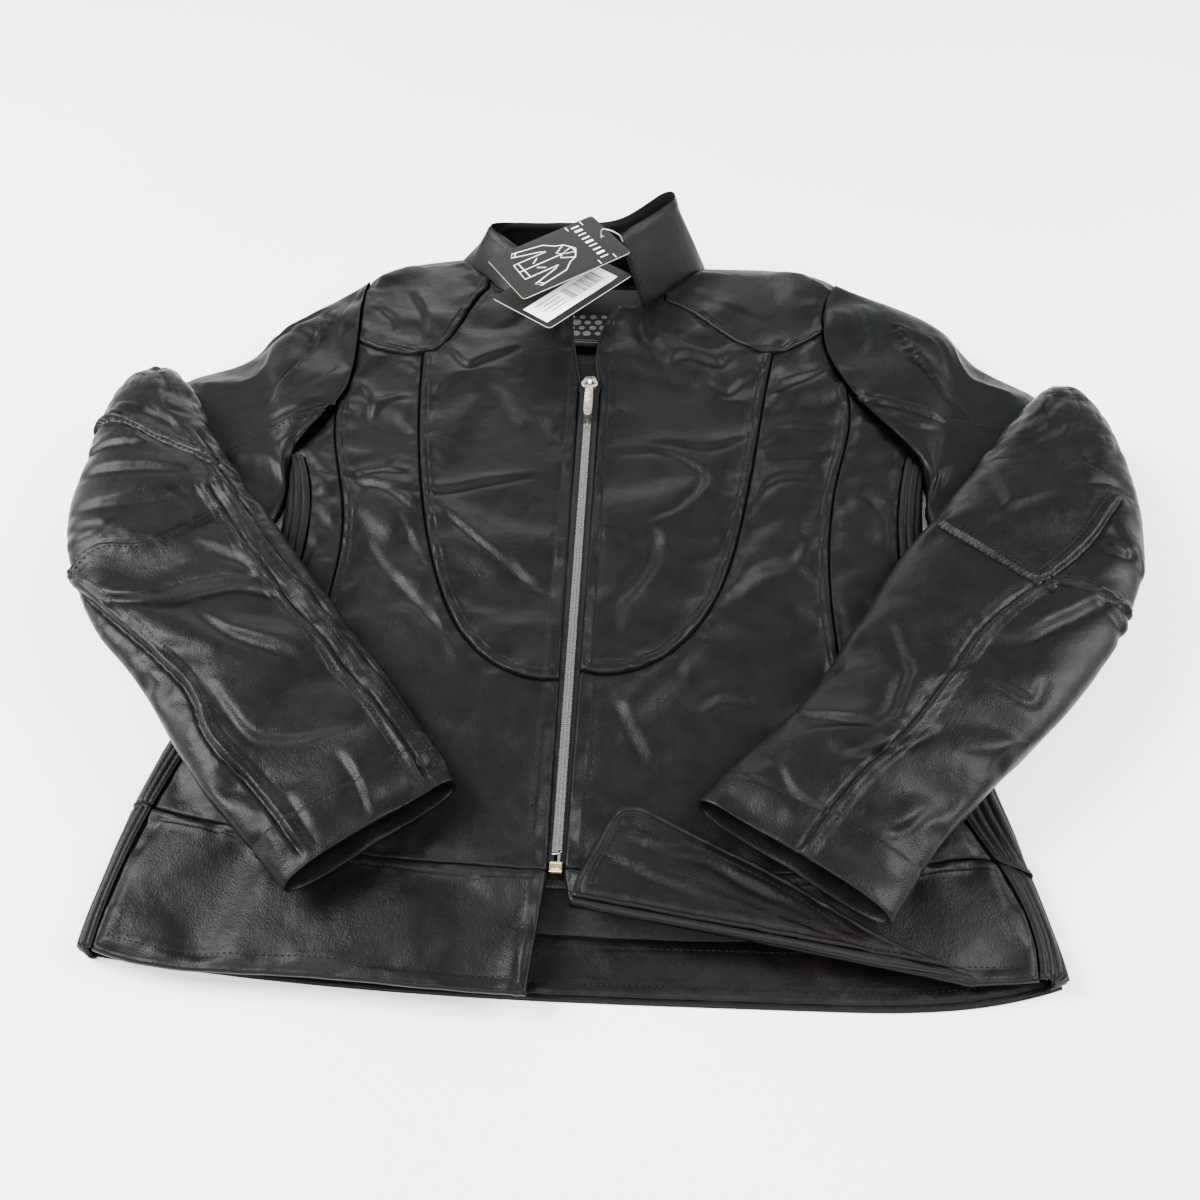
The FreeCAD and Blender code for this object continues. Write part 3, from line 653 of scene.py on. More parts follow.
class Stitches:
    """Thread along seams, gathered into one mesh per body."""

    LENGTH, WIDTH, SINK = 2.3 * MM, 0.62 * MM, 0.02 * MM
    STEP = 2.5 * MM          # no stitch crosses a step higher than this
    PROFILE = ((-0.5, 0.25, -0.35), (-0.34, 0.85, 0.12), (0.0, 1.0, 0.30), (0.34, 0.85, 0.12),
               (0.5, 0.25, -0.35))     # share of the length, of the width, and height in widths

    def __init__(self):
        self.points, self.faces = [], []

    def one(self, middle, along, up):
        across = along.cross(up).normalized()
        start = len(self.points)
        for share, wide, high in self.PROFILE:
            centre = middle + along * share * self.LENGTH + up * high * self.WIDTH
            half = 0.5 * wide * self.WIDTH
            self.points += [centre - across * half - up * half * 0.4, centre - across * half * 0.5 + up * half,
                            centre + across * half * 0.5 + up * half, centre + across * half - up * half * 0.4]
        for base in range(start, start + 4 * (len(self.PROFILE) - 1), 4):
            self.faces += [(base + k, base + k + 1, base + k + 5, base + k + 4) for k in range(3)]

    def sew(self, line, tree):
        """Stitches along a plan line, laid on whatever the tree has below it."""
        if line is None or len(line) < 2:
            return
        step = travelled(line)
        for at in np.arange(0.5 * STITCH_PITCH, step[-1], STITCH_PITCH):
            first, last = (below(tree, *(np.interp(at + share * self.LENGTH, step, line[:, k]) for k in (0, 1)))
                           for share in (-0.5, 0.5))
            if first[0] is None or last[0] is None or abs(first[0].z - last[0].z) > self.STEP:
                continue
            up = (first[1] + last[1]).normalized()
            if up.z < 0:
                up = -up
            self.one(0.5 * (first[0] + last[0]) - up * self.SINK, (last[0] - first[0]).normalized(), up)

    def place(self, name, body):
        piece = add_mesh(name, self.points, self.faces, THREAD, body)
        return piece


# ---------------------------------------------------------------- materials

class Look:
    """A Principled material with procedural textures placed by the object's own coordinates."""

    def __init__(self, name, **inputs):
        self.material = bpy.data.materials.new(name)
        self.material.use_nodes = True
        self.nodes, self.links = self.material.node_tree.nodes, self.material.node_tree.links
        self.shader = self.nodes["Principled BSDF"]
        for key, value in inputs.items():
            self.shader.inputs[key.replace("_", " ")].default_value = value
        self.place = self.nodes.new("ShaderNodeTexCoord").outputs["Object"]

    def texture(self, kind, scale, output="Fac", **settings):
        node = self.nodes.new("ShaderNodeTex" + kind)
        self.links.new(self.place, node.inputs["Vector"])
        node.inputs["Scale"].default_value = scale
        for key, value in settings.items():
            if key in node.inputs:
                node.inputs[key].default_value = value
            else:
                setattr(node, key, value)
        return node.outputs[output]

    def ramp(self, source, low, high, low_colour, high_colour):
        node = self.nodes.new("ShaderNodeValToRGB")
        for element, position, colour in zip(node.color_ramp.elements, (low, high), (low_colour, high_colour)):
            element.position, element.color = position, (*colour, 1)
        self.links.new(source, node.inputs["Fac"])
        return node.outputs["Color"]

    def colour(self, source, low, high, low_colour, high_colour):
        self.links.new(self.ramp(source, low, high, low_colour, high_colour), self.shader.inputs["Base Color"])

    def roughness(self, source, low, high, rough):
        node = self.nodes.new("ShaderNodeMapRange")
        for key, value in (("From Min", low), ("From Max", high), ("To Min", rough[0]), ("To Max", rough[1])):
            node.inputs[key].default_value = value
        self.links.new(source, node.inputs["Value"])
        self.links.new(node.outputs["Result"], self.shader.inputs["Roughness"])

    def bump(self, *heights):
        """Stacked bumps from (height socket, depth in metres, strength)."""
        last = None
        for height, depth, strength in heights:
            node = self.nodes.new("ShaderNodeBump")
            node.inputs["Distance"].default_value = depth
            node.inputs["Strength"].default_value = strength
            self.links.new(height, node.inputs["Height"])
            if last:
                self.links.new(last, node.inputs["Normal"])
            last = node.outputs["Normal"]
        self.links.new(last, self.shader.inputs["Normal"])


def leather_material(name, cool, warm, rough):
    """Waxed nappa: fine pebbled grain, faint wrinkles, patchy gloss and a little brown where it is rubbed."""
    look = Look(name, Specular_IOR_Level=0.10, Coat_Weight=0.008, Coat_Roughness=0.25)
    patches = look.texture("Noise", 9.0, Detail=3.0, Roughness=0.55)
    shade = look.ramp(patches, 0.44, 0.72, cool, warm)
    mottle = look.texture("Noise", 70.0, Detail=4.0, Roughness=0.6)
    rubbed = look.ramp(mottle, 0.35, 0.75, (0.86, 0.87, 0.90), (1.22, 1.2, 1.16))
    mix = look.nodes.new("ShaderNodeMix")
    mix.data_type, mix.blend_type = "RGBA", "MULTIPLY"
    mix.inputs[0].default_value = 1.0
    look.links.new(shade, mix.inputs[6])
    look.links.new(rubbed, mix.inputs[7])
    look.links.new(mix.outputs[2], look.shader.inputs["Base Color"])
    look.roughness(mottle, 0.3, 0.75, rough)
    look.bump((look.texture("Noise", 85.0, Detail=3.0, Roughness=0.5, Distortion=0.3), 0.0011, 0.35),
              (look.texture("Noise", 240.0, Detail=4.0, Roughness=0.65, Distortion=0.6), 0.0005, 0.45),
              (look.texture("Voronoi", 1100.0, "Distance", feature="SMOOTH_F1", Smoothness=0.4), 0.00022, 0.5),
              (look.texture("Noise", 2600.0, Detail=2.0), 0.00010, 0.4))
    return look.material


def cloth_material(name, colour, lighter, pitch, sheen=0.2):
    """Woven cloth: two crossed thread waves at the given pitch in metres."""
    look = Look(name, Roughness=0.82, Sheen_Weight=sheen, Sheen_Roughness=0.4, Specular_IOR_Level=0.15)
    cross = look.nodes.new("ShaderNodeMath")
    cross.operation = "MAXIMUM"
    for k, direction in enumerate("XY"):
        thread = look.texture("Wave", 1.0 / pitch / 6.283 * 2, bands_direction=direction, Distortion=0.4)
        look.links.new(thread, cross.inputs[k])
    fibres = look.texture("Noise", 420.0, Detail=3.0)
    look.colour(fibres, 0.3, 0.75, colour, lighter)
    look.bump((fibres, 0.0002, 0.4), (cross.outputs["Value"], 0.0002, 0.6))
    return look.material


def metal_material(name, colour, worn, rough=(0.2, 0.42)):
    """Plated metal with fine scratches and a duller film in patches."""
    look = Look(name, Metallic=1.0)
    film = look.texture("Noise", 260.0, Detail=3.0)
    look.colour(film, 0.35, 0.7, colour, worn)
    look.roughness(film, 0.3, 0.7, rough)
    look.bump((look.texture("Noise", 900.0, Detail=2.0, Distortion=1.5), 0.00008, 0.35))
    return look.material


def card_material(name, colour, lighter, rough):
    """Printed card or paper with its fibres."""
    look = Look(name, Specular_IOR_Level=0.18)
    fibres = look.texture("Noise", 500.0, Detail=4.0, Roughness=0.7)
    look.colour(fibres, 0.3, 0.75, colour, lighter)
    look.roughness(fibres, 0.3, 0.7, (rough, rough + 0.12))
    look.bump((fibres, 0.00005, 0.5))
    return look.material


def thread_material(name, colour):
    look = Look(name, Roughness=0.55, Sheen_Weight=0.05, Specular_IOR_Level=0.1)
    twist = look.texture("Wave", 420.0, bands_direction="DIAGONAL", Distortion=0.2)
    look.colour(twist, 0.2, 0.9, colour, [1.9 * c for c in colour])
    look.bump((twist, 0.0001, 0.6))
    return look.material


def plastic_material(name):
    look = Look(name, IOR=1.46, Transmission_Weight=0.65, Base_Color=(0.75, 0.76, 0.78, 1))
    film = look.texture("Noise", 300.0, Detail=2.0)
    look.roughness(film, 0.3, 0.7, (0.16, 0.3))
    look.bump((film, 0.0001, 0.2))
    return look.material


LEATHER = leather_material("leather", (0.0012, 0.0014, 0.0017), (0.0021, 0.0020, 0.0020), (0.40, 0.54))
SLEEVE_LEATHER = leather_material("sleeve_leather", (0.0012, 0.0014, 0.0016), (0.0024, 0.0020, 0.0016),
                                  (0.38, 0.52))
INNER_LEATHER = leather_material("inner_leather", (0.0012, 0.0012, 0.0011), (0.0027, 0.0021, 0.0017),
                                 (0.42, 0.56))
LINING = cloth_material("lining", (0.0045, 0.0045, 0.0050), (0.010, 0.010, 0.011), 0.0006, sheen=0.12)
TAPE = cloth_material("zip_tape", (0.0015, 0.0015, 0.0018), (0.0040, 0.0040, 0.0044), 0.0009, sheen=0.02)
LABEL = cloth_material("label_cloth", (0.006, 0.006, 0.006), (0.014, 0.014, 0.014), 0.0004, sheen=0.05)
LABEL_THREAD = cloth_material("label_thread", (0.11, 0.11, 0.105), (0.19, 0.19, 0.18), 0.0004)
STEEL = metal_material("zip_steel", (0.46, 0.455, 0.435), (0.27, 0.265, 0.25), rough=(0.18, 0.36))
BRASS = metal_material("zip_brass", (0.66, 0.50, 0.28), (0.42, 0.30, 0.16))
PULL_METAL = metal_material("pull_metal", (0.60, 0.50, 0.38), (0.38, 0.30, 0.21))
CARD = card_material("card", (0.0032, 0.0031, 0.0029), (0.0058, 0.0055, 0.0050), 0.5)
CARD_EDGE = card_material("card_edge", (0.42, 0.38, 0.30), (0.62, 0.57, 0.48), 0.7)
WHITE_INK = card_material("white_ink", (0.60, 0.60, 0.58), (0.72, 0.72, 0.70), 0.45)
BLACK_INK = card_material("black_ink", (0.012, 0.012, 0.012), (0.03, 0.03, 0.03), 0.5)
STICKER_PAPER = card_material("sticker_paper", (0.74, 0.76, 0.78), (0.86, 0.87, 0.88), 0.4)
THREAD = thread_material("thread", (0.0009, 0.0009, 0.0010))
PLASTIC = plastic_material("clear_plastic")


# ---------------------------------------------------------------- torso


OUTLINE = {side + "_" + part: plan_outline(side + "_" + part) for side in SIDES for part in FRONT_PANELS}
STITCHES = {"root": Stitches(), "hem_flap": Stitches()}

# The seams whose allowance is topstitched: (panel that is stitched, its neighbour across the seam).
TOPSTITCHED = [("yoke", "front_bib"), ("yoke", "front_panel"), ("yoke", "side_panel"),
               ("front_bib", "front_panel"), ("front_panel", "side_panel"), ("hem_band", "front_panel"),
               ("hem_band", "side_panel")]
ZIP_STITCH = 9.5 * MM        # the line of stitches beside the zip
SHOULDER = {
    "right": [(-124, 304), (-158, 297), (-190, 276), (-196, 258)],
    "left": [(70, 297), (104, 298), (150, 295), (178, 274)]}
SHOULDER_FALL, SHOULDER_RUN = 8.0, 16.0      # mm that a yoke drops towards the shoulder, and over how far
SHOULDER_TURN, SHOULDER_LIP = 8.0, 2.4       # mm that its very edge turns down to the back, and over how far
HEM_STITCH = 8.5 * MM        # the line of stitches above the hem
HEM_BAND_LOW = 40 * MM       # the hem's own band is this deep
HEM_RUN = 26 * MM            # the outline's points this near the lowest are the hem
FOLD_X = 186 * MM            # the left hem is folded up as far as this


def stitch_beside_zip(edge, outline, tree):
    ys = np.arange(outline[:, 1].min() + 3 * MM, outline[:, 1].max(), 2 * MM)
    line = np.column_stack([np.full(len(ys), edge + math.copysign(ZIP_STITCH, edge - ZIP_X)), ys])
    STITCHES["root"].sew(line[inside(line, outline)], tree)


def build_front(side):
    creases = CREASES_RIGHT if side == "right" else CREASES_LEFT
    own = {part: OUTLINE[side + "_" + part] for part in FRONT_PANELS}
    buckles = FrontBuckles(list(own.values()))
    top = Top(*(side + "_" + part for part in FRONT_PANELS))
    zip_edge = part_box(side + "_front_bib")[1 if side == "right" else 0].x
    shoulder = curve(SHOULDER[side], 40)
    for part, outline in own.items():
        name = side + "_" + part
        seams = [seam_between(outline, own[other]) for panel, other in TOPSTITCHED if panel == part]
        seams = [seam for seam in seams if seam is not None and len(seam) > 4]
        beside_zip = part in ("front_bib", "front_panel") or (part == "hem_band" and side == "right")
        hem = outline[:, 1].min()

        def height(plan, edge_distance):
            result = top.at(plan) + edge_roll(edge_distance)
            loose = smoothstep(0, 9 * MM, edge_distance)
            result += (0.3 + 0.7 * loose) * (buckles.at(plan) + crease_height(plan, creases))
            result += hide_relief(plan) * (0.25 + 0.75 * loose) + puckers(plan, edge_distance)
            for seam in seams:
                d = distance_to(plan, seam, False)
                result += seam_band(d) + 0.5 * puckers(plan, d)
            if beside_zip:
                d = np.abs(plan[:, 0] - zip_edge)
                result -= 0.9 * MM * dip(d - ZIP_STITCH, 0.9 * MM)
                result += 0.35 * MM * smoothstep(ZIP_STITCH + 3 * MM, ZIP_STITCH, d)
            if part == "yoke":
                d = distance_to(plan, shoulder, False)
                result -= SHOULDER_FALL * MM * np.clip(1 - d / (SHOULDER_RUN * MM), 0, 1) ** 2
                result -= SHOULDER_TURN * MM * np.clip(1 - d / (SHOULDER_LIP * MM), 0, 1) ** 1.5
            if part == "hem_band":
                result += seam_band(np.abs(edge_distance - 2 * MM) + (plan[:, 1] > hem + HEM_BAND_LOW), 0.6)
            return result

        piece = cut_panel(name + "_hide", outline, height, LEATHER, "root")
        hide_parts(name)
        tree = mesh_tree(piece)
        for seam in seams:
            STITCHES["root"].sew(drawn_in(seam, STITCH_INSET, outline), tree)
        if beside_zip:
            stitch_beside_zip(zip_edge, outline, tree)
        if part == "hem_band":
            loop = resample(outline, 2 * MM)
            run = loop[(loop[:, 1] < hem + HEM_RUN) & ((side == "right") | (loop[:, 0] > FOLD_X))]
            STITCHES["root"].sew(drawn_in(run[np.argsort(run[:, 0])], HEM_STITCH, outline), tree)


RIB_STEP, RIB_COLUMNS, PLEATS = 2.4 * MM, 110, 7
PLEAT_HEIGHT, PLEAT_SINK = 2.3, 1.7          # mm from a pleat's foot to its crest, and of its foot below the CAD
RIB_FLOOR = 2.0 * MM
RIB_RADIUS = 9 * MM          # the strip's turn over the side


def rib_section(near, far, z, out):
    """The strip's section, from the front over the side to the back: its length, and a function that turns a
    distance along it into (x, z, outward x, outward z)."""
    width = abs(far - near)
    radius = min(RIB_RADIUS, 0.48 * (z - RIB_FLOOR), max(width - MM, MM))
    flat_run, turn, wall = width - radius, 0.5 * math.pi * radius, z - RIB_FLOOR - 2 * radius

    def place(s):
        if s < flat_run:
            return near + out * s, z, 0.0, 1.0
        if s < flat_run + turn:
            angle = (s - flat_run) / radius
            return (far - out * radius + out * radius * math.sin(angle), z - radius + radius * math.cos(angle),
                    out * math.sin(angle), math.cos(angle))
        if s < flat_run + turn + wall:
            return far, z - radius - (s - flat_run - turn), out, 0.0
        angle = (s - flat_run - turn - wall) / radius
        return (far - out * radius + out * radius * math.cos(angle),
                RIB_FLOOR + radius - radius * math.sin(angle), out * math.cos(angle), -math.sin(angle))

    return flat_run + 2 * turn + wall, place


def build_rib(side, part):
    """A pleated strip that turns from the front down to the back along the side seam."""
    name, out = side + "_" + part, OUT[side]
    outline = plan_outline(name)
    low, high = outline[:, 1].min() + MM, outline[:, 1].max() - MM
    top = Top(name)
    rows = int((high - low) / RIB_STEP) + 1
    closed = np.vstack([outline, outline[:1]])
    a, b = closed[:-1], closed[1:]
    points = []
    for y in np.linspace(low, high, rows):
        cross = (a[:, 1] > y) != (b[:, 1] > y)
        xs = a[cross, 0] + (y - a[cross, 1]) * (b[cross, 0] - a[cross, 0]) / (b[cross, 1] - a[cross, 1])
        near, far = (xs.max(), xs.min()) if out < 0 else (xs.min(), xs.max())
        z = top.at(np.array([[near + out * MM, y]]))[0]
        total, place = rib_section(near, far, z, out)
        for k in range(RIB_COLUMNS):
            s = total * k / (RIB_COLUMNS - 1)
            px, pz, nx, nz = place(s)
            wobble = 0.35 * math.sin(y / (31 * MM) + 2.1 * k / RIB_COLUMNS)
            phase = abs(math.sin(math.pi * (PLEATS * k / (RIB_COLUMNS - 1)) + 0.25 * wobble))
            edge = float(smoothstep(0, 3 * MM, min(s, total - s)))
            lift = (PLEAT_HEIGHT * phase ** 0.55 - PLEAT_SINK) * MM * edge
            lift += 0.5 * MM * ROUGH.one(y / (22 * MM), k / 30.0)
            points.append((px + nx * lift, y, pz + nz * lift))
    faces = grid_faces(rows, RIB_COLUMNS)
    if out > 0:
        faces = [face[::-1] for face in faces]
    piece = add_mesh(name + "_pleats", points, faces, LEATHER, "root")
    thicken(piece, PLY)
    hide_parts(name)


def build_hidden_plies(side):
    """The lining and the zip's facing, which the front mostly covers."""
    for part, material, slot in (("front_lining", LINING, "lining"), ("zip_facing", INNER_LEATHER, "leather")):
        name = side + "_" + part
        top, outline = Top(name), plan_outline(name)

        def height(plan, edge_distance):
            sag = smoothstep(0, 12 * MM, edge_distance)
            return top.at(plan) - (1.6 + 4.4 * sag) * MM + 0.5 * MM * ROUGH.over(plan, 40 * MM)

        piece = cut_panel(name + "_ply", outline, height, material, "root", 7 * MM, CLOTH_PLY, ())
        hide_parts(name)


BACK_CREASES = [
    ([(0, -262), (30, -268), (70, -266), (120, -278)], 5.0, 2.6),
    ([(6, -278), (40, -281), (90, -279)], 4.0, 1.8),
    ([(120, -284), (160, -292), (200, -290)], 4.0, 1.8), ([(14, -255), (24, -270), (28, -284)], 4.0, 1.8),
    ([(-40, 180), (-20, 200), (10, 196)], 6.0, 2.0), ([(-30, 235), (-5, 245), (20, 240)], 5.0, 1.6),
]
HEM_FACING_MIDDLE = -298 * MM    # the facing's lower seam is below this
HEM_FACING_END = 225 * MM        # its stitches end here on both sides


def build_back():
    for name, material, slot, spacing in (
            ("back_panel", LEATHER, "leather", 4 * MM), ("back_lining", LINING, "lining", 3.6 * MM),
            ("back_hem_facing", INNER_LEATHER, "leather", 2.6 * MM)):
        top, outline = Top(name), plan_outline(name)

        def height(plan, edge_distance):
            result = top.at(plan) + edge_roll(edge_distance, 0.6)
            if name == "back_panel":
                return result
            loose = smoothstep(0, 14 * MM, edge_distance)
            result += loose * (crease_height(plan, BACK_CREASES) + MM * (0.8 + ROUGH.over(plan, 33 * MM, 3)))
            if name == "back_hem_facing":
                result += seam_band(np.abs(edge_distance - MM), 0.5) + puckers(plan, edge_distance, 0.6)
            return result

        piece = cut_panel(name + "_ply", outline, height, material, "root", spacing,
                          PLY if slot == "leather" else CLOTH_PLY)
        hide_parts(name)
        if name == "back_hem_facing":
            loop = resample(outline, 2 * MM)
            for bottom in (True, False):
                run = loop[((loop[:, 1] < HEM_FACING_MIDDLE) == bottom) & (np.abs(loop[:, 0]) < HEM_FACING_END)]
                STITCHES["root"].sew(drawn_in(run[np.argsort(run[:, 0])], STITCH_INSET, outline), mesh_tree(piece))


LABEL_PITCH = 8.6 * MM       # from one woven cell to the next
LABEL_STEPS = 24             # quads in each of its border lines


def build_label():
    """The woven neck label: a plain border and a field of cells."""
    low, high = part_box("neck_label")
    outline = np.array([(low.x, low.y), (high.x, low.y), (high.x, high.y), (low.x, high.y)])
    piece = cut_panel("neck_label_cloth", outline,
                      lambda plan, d: high.z + 2.2 * MM + 0.5 * MM * ROUGH.over(plan, 30 * MM) + edge_roll(d, 0.3),
                      LABEL, "root", 3 * MM, 0.5 * MM)
    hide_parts("neck_label")
    tree = mesh_tree(piece)
    rng = random.Random(5)
    points, faces = [], []

    def patch(ring):
        start = len(points)
        for x, y in ring:
            hit = below(tree, x, y)[0]
            points.append((x, y, (hit.z if hit else high.z) + 0.12 * MM))
        faces.append(tuple(range(start, start + len(ring))))

    columns = int((high.x - low.x) / LABEL_PITCH) - 1
    for row in range(int(0.55 * (high.y - low.y) / LABEL_PITCH)):
        for column in range(columns):
            cx = low.x + (column + 1.0 + 0.5 * (row % 2)) * LABEL_PITCH
            cy = low.y + 16 * MM + row * LABEL_PITCH * 0.87
            size = LABEL_PITCH * rng.uniform(0.30, 0.47)
            turn = rng.uniform(0, 1)
            if cx + size < high.x and cy + size < high.y:
                patch([(cx + size * math.cos(turn + k * math.pi / 3), cy + size * math.sin(turn + k * math.pi / 3))
                       for k in range(6)])
    for offset, thick in ((4.0, 1.0), (7.0, 0.5)):
        y = low.y + offset * MM
        for k in range(LABEL_STEPS):
            x0, x1 = (low.x + 2 * MM + (high.x - low.x - 4 * MM) * (k + j) / LABEL_STEPS for j in (0, 1))
            patch([(x0, y), (x1, y), (x1, y + thick * MM), (x0, y + thick * MM)])
    motif = add_mesh("neck_label_weave", points, faces, LABEL_THREAD, "root", smooth=False)


FLAP_CREASES = [
    ([(18, -228), (50, -240), (95, -262)], 3.2, 1.5),
    ([(30, -246), (60, -250), (80, -262), (120, -282)], 3.6, 1.8),
    ([(60, -236), (85, -247), (110, -266)], 3.0, 1.4), ([(22, -240), (40, -243), (62, -241)], 3.0, 1.4),
    ([(95, -262), (125, -276), (150, -292)], 3.0, 1.6), ([(10, -250), (30, -258), (60, -268)], 3.4, 1.3),
]
FLAP_BAND = 8.0 * MM         # from the free edge to the flap's stitches
FLAP_INNER_SEAM = [(4, -248), (30, -256), (62, -264), (100, -279), (140, -294), (170, -302)]
FOLD_RINGS, FOLD_AROUND = 110, 12            # points along the fold, and round its half tube


def build_hem_flap():
    """The left front's lower corner, folded up: its facing shows, and the leather rolls round the fold."""
    outline, facing_outline = plan_outline("hem_flap"), plan_outline("hem_flap_facing")
    top, facing_top = Top("hem_flap"), Top("hem_flap_facing")
    inner_seam = curve(FLAP_INNER_SEAM, 60)
    fold = np.array([outline[np.argmin(outline[:, 0])], outline[np.argmax(outline[:, 0])]])

    def under(plan, edge_distance):
        return top.at(plan) + edge_roll(edge_distance, 0.6)

    def face(plan, edge_distance):
        free = np.where(distance_to(plan, fold, False) < edge_distance + 0.5 * MM, 60 * MM, edge_distance)
        signed = along_line(plan, inner_seam)[0]
        loose = smoothstep(3 * MM, 14 * MM, free)
        result = facing_top.at(plan) + edge_roll(edge_distance, 0.9)
        result += loose * (1.9 * crease_height(plan, FLAP_CREASES) + 1.3 * hide_relief(plan))
        result += seam_band(np.abs(free - (FLAP_BAND - STITCH_INSET)), 1.2) + puckers(plan, free, 0.6)
        result += 1.2 * MM * smoothstep(1.2 * MM, -1.2 * MM, signed) - MM * dip(signed, MM)
        return result + 0.4 * MM

    leather = cut_panel("hem_flap_hide", outline, under, LEATHER, "hem_flap")
    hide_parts("hem_flap")
    facing = cut_panel("hem_flap_face", facing_outline, face, INNER_LEATHER, "hem_flap", 2.2 * MM)
    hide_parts("hem_flap_facing")

    tree = mesh_tree(facing)
    loop = resample(facing_outline, 1.5 * MM)
    free_edge = loop[distance_to(loop, fold, False) > 5 * MM]
    start = int(np.argmax(np.linalg.norm(free_edge - np.roll(free_edge, 1, 0), axis=1)))
    free_edge = np.roll(free_edge, -start, 0)
    STITCHES["hem_flap"].sew(drawn_in(free_edge, FLAP_BAND - 1.5 * MM, facing_outline), tree)
    STITCHES["hem_flap"].sew(inner_seam + np.array([0.0, 2.2 * MM]), tree)
    build_fold(*fold)


def build_fold(fold_start, fold_end):
    """The leather's roll, a half tube along the fold line."""
    along = (fold_end - fold_start) / np.linalg.norm(fold_end - fold_start)
    out = np.array([along[1], -along[0]])
    low_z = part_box("hem_flap")[0].z - 3.6 * MM
    high_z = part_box("hem_flap_facing")[1].z + 0.2 * MM
    middle, radius = 0.5 * (low_z + high_z), 0.5 * (high_z - low_z)
    points = []
    for i in range(FOLD_RINGS):
        base = fold_start + (fold_end - fold_start) * i / (FOLD_RINGS - 1)
        wave = 0.5 * MM * ROUGH.one(i / 9.0, 0.3)
        taper = 1 - 0.75 * float(smoothstep(0.78, 1.0, i / (FOLD_RINGS - 1)))
        for k in range(FOLD_AROUND):
            angle = -0.5 * math.pi + math.pi * k / (FOLD_AROUND - 1)
            reach = (radius * 0.8 + wave) * math.cos(angle) - 1.2 * MM * abs(math.sin(angle)) ** 6
            points.append((*(base + out * reach * taper), middle + taper * radius * math.sin(angle)))
    roll = add_mesh("hem_flap_fold", points, turned_over(grid_faces(FOLD_RINGS, FOLD_AROUND)), LEATHER, None)
    thicken(roll, 0.9 * MM)
    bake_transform(roll)


# ---------------------------------------------------------------- sleeves

# Sections of each sleeve from its inner to its outer side, in mm as (x, y), (x, y), lowest, highest.
FOREARM = {
    "right": [((-67, -215), (-144, -280), 27, 48), ((-89, -182), (-179, -245), 27, 51),
              ((-115, -145), (-207, -216), 27, 54), ((-143, -110), (-248, -163), 27, 57),
              ((-176, -67), (-300, -104), 27, 60), ((-207, -26), (-326, -45), 27, 62),
              ((-235, 10), (-335, 18), 27, 62), ((-262, 50), (-338, 60), 27, 61),
              ((-284, 91), (-335, 98), 27, 58), ((-300, 113), (-325, 118), 31, 50)],
    "left": [((59, -222), (151, -286), 27, 48), ((82, -196), (180, -243), 27, 51),
             ((113, -163), (215, -206), 27, 54), ((147, -110), (268, -150), 27, 57),
             ((178, -56), (313, -84), 27, 60), ((214, -6), (333, -22), 27, 62),
             ((246, 40), (338, 33), 27, 62), ((270, 76), (336, 75), 27, 61),
             ((291, 106), (329, 106), 27, 57), ((304, 119), (319, 119), 31, 50)]}
UPPER_ARM = {
    "right": [((-214, 55), (-197, 264), 0, 33), ((-214, 38), (-243, 218), 0, 31),
              ((-211, 14), (-272, 172), 0, 26.4), ((-217, -10), (-314, 140), 0, 26.4),
              ((-243, -20), (-334, 92), 0, 26.4), ((-284, -14), (-330, 40), 0, 26),
              ((-305, -2), (-318, 16), 6, 18)],
    "left": [((216, 60), (179, 275), 0, 33), ((217, 40), (242, 240), 0, 31),
             ((214, 16), (275, 186), 0, 26.4), ((219, -8), (318, 141), 0, 26.4),
             ((240, -20), (334, 92), 0, 26.4), ((284, -14), (332, 40), 0, 26),
             ((305, -2), (318, 16), 6, 18)]}
ARMHOLE = {
    "right": [(-214, 55), (-191, 108), (-187, 140), (-190, 182), (-194, 225), (-195, 264)],
    "left": [(216, 60), (191, 100), (176, 129), (164, 163), (160, 196), (166, 243), (178, 274)]}
CUFF_HEM = 25 * MM           # depth of the turned cuff
SLEEVE_ROUND = 0.72          # exponent of a section's curve: 1 is an ellipse, less is squarer
ARMHOLE_BLUNT = 0.42                         # taken off that exponent where the sleeve is sewn in
SKIN_AROUND, SKIN_STEP = 190, 1.6 * MM       # points round a sleeve, and the distance between its rings
SKIN_ARC = 1.45 * MM                         # about the distance between points round a sleeve

# Seams on top of the sleeves, in mm. Each has its stitched band on its left.
SLEEVE_SEAMS = {
    "right_forearm": [
        [(-339, 34), (-324, 44), (-285, 26), (-237, 4), (-225, -4)],
        [(-231, -33), (-263, -66), (-295, -71), (-318, -92)],
        [(-318, -86), (-290, -108), (-277, -119), (-219, -170), (-196, -204), (-166, -232), (-134, -268)],
        [(-68, -210), (-182, -75), (-222, -22), (-252, 22), (-266, 42)],
        [(-79, -221), (-120, -167), (-193, -82), (-231, -30), (-246, -8)]],
    "left_forearm": [
        [(205, -26), (255, -80), (262, -86)],
        [(255, -80), (290, -46), (318, -8)],
        [(262, -78), (290, -88), (312, -100)],
        [(262, -72), (217, -112), (190, -152), (165, -187), (136, -216), (105, -257)]],
    "right_upper_arm": [[(-192, 103), (-214, 88), (-238, 78), (-262, 58)],
                        [(-216, 216), (-222, 180), (-232, 140), (-246, 96)]],
    "left_upper_arm": [[(176, 124), (204, 112), (232, 104), (280, 92)],
                       [(214, 214), (222, 180), (236, 140), (254, 104)]]}

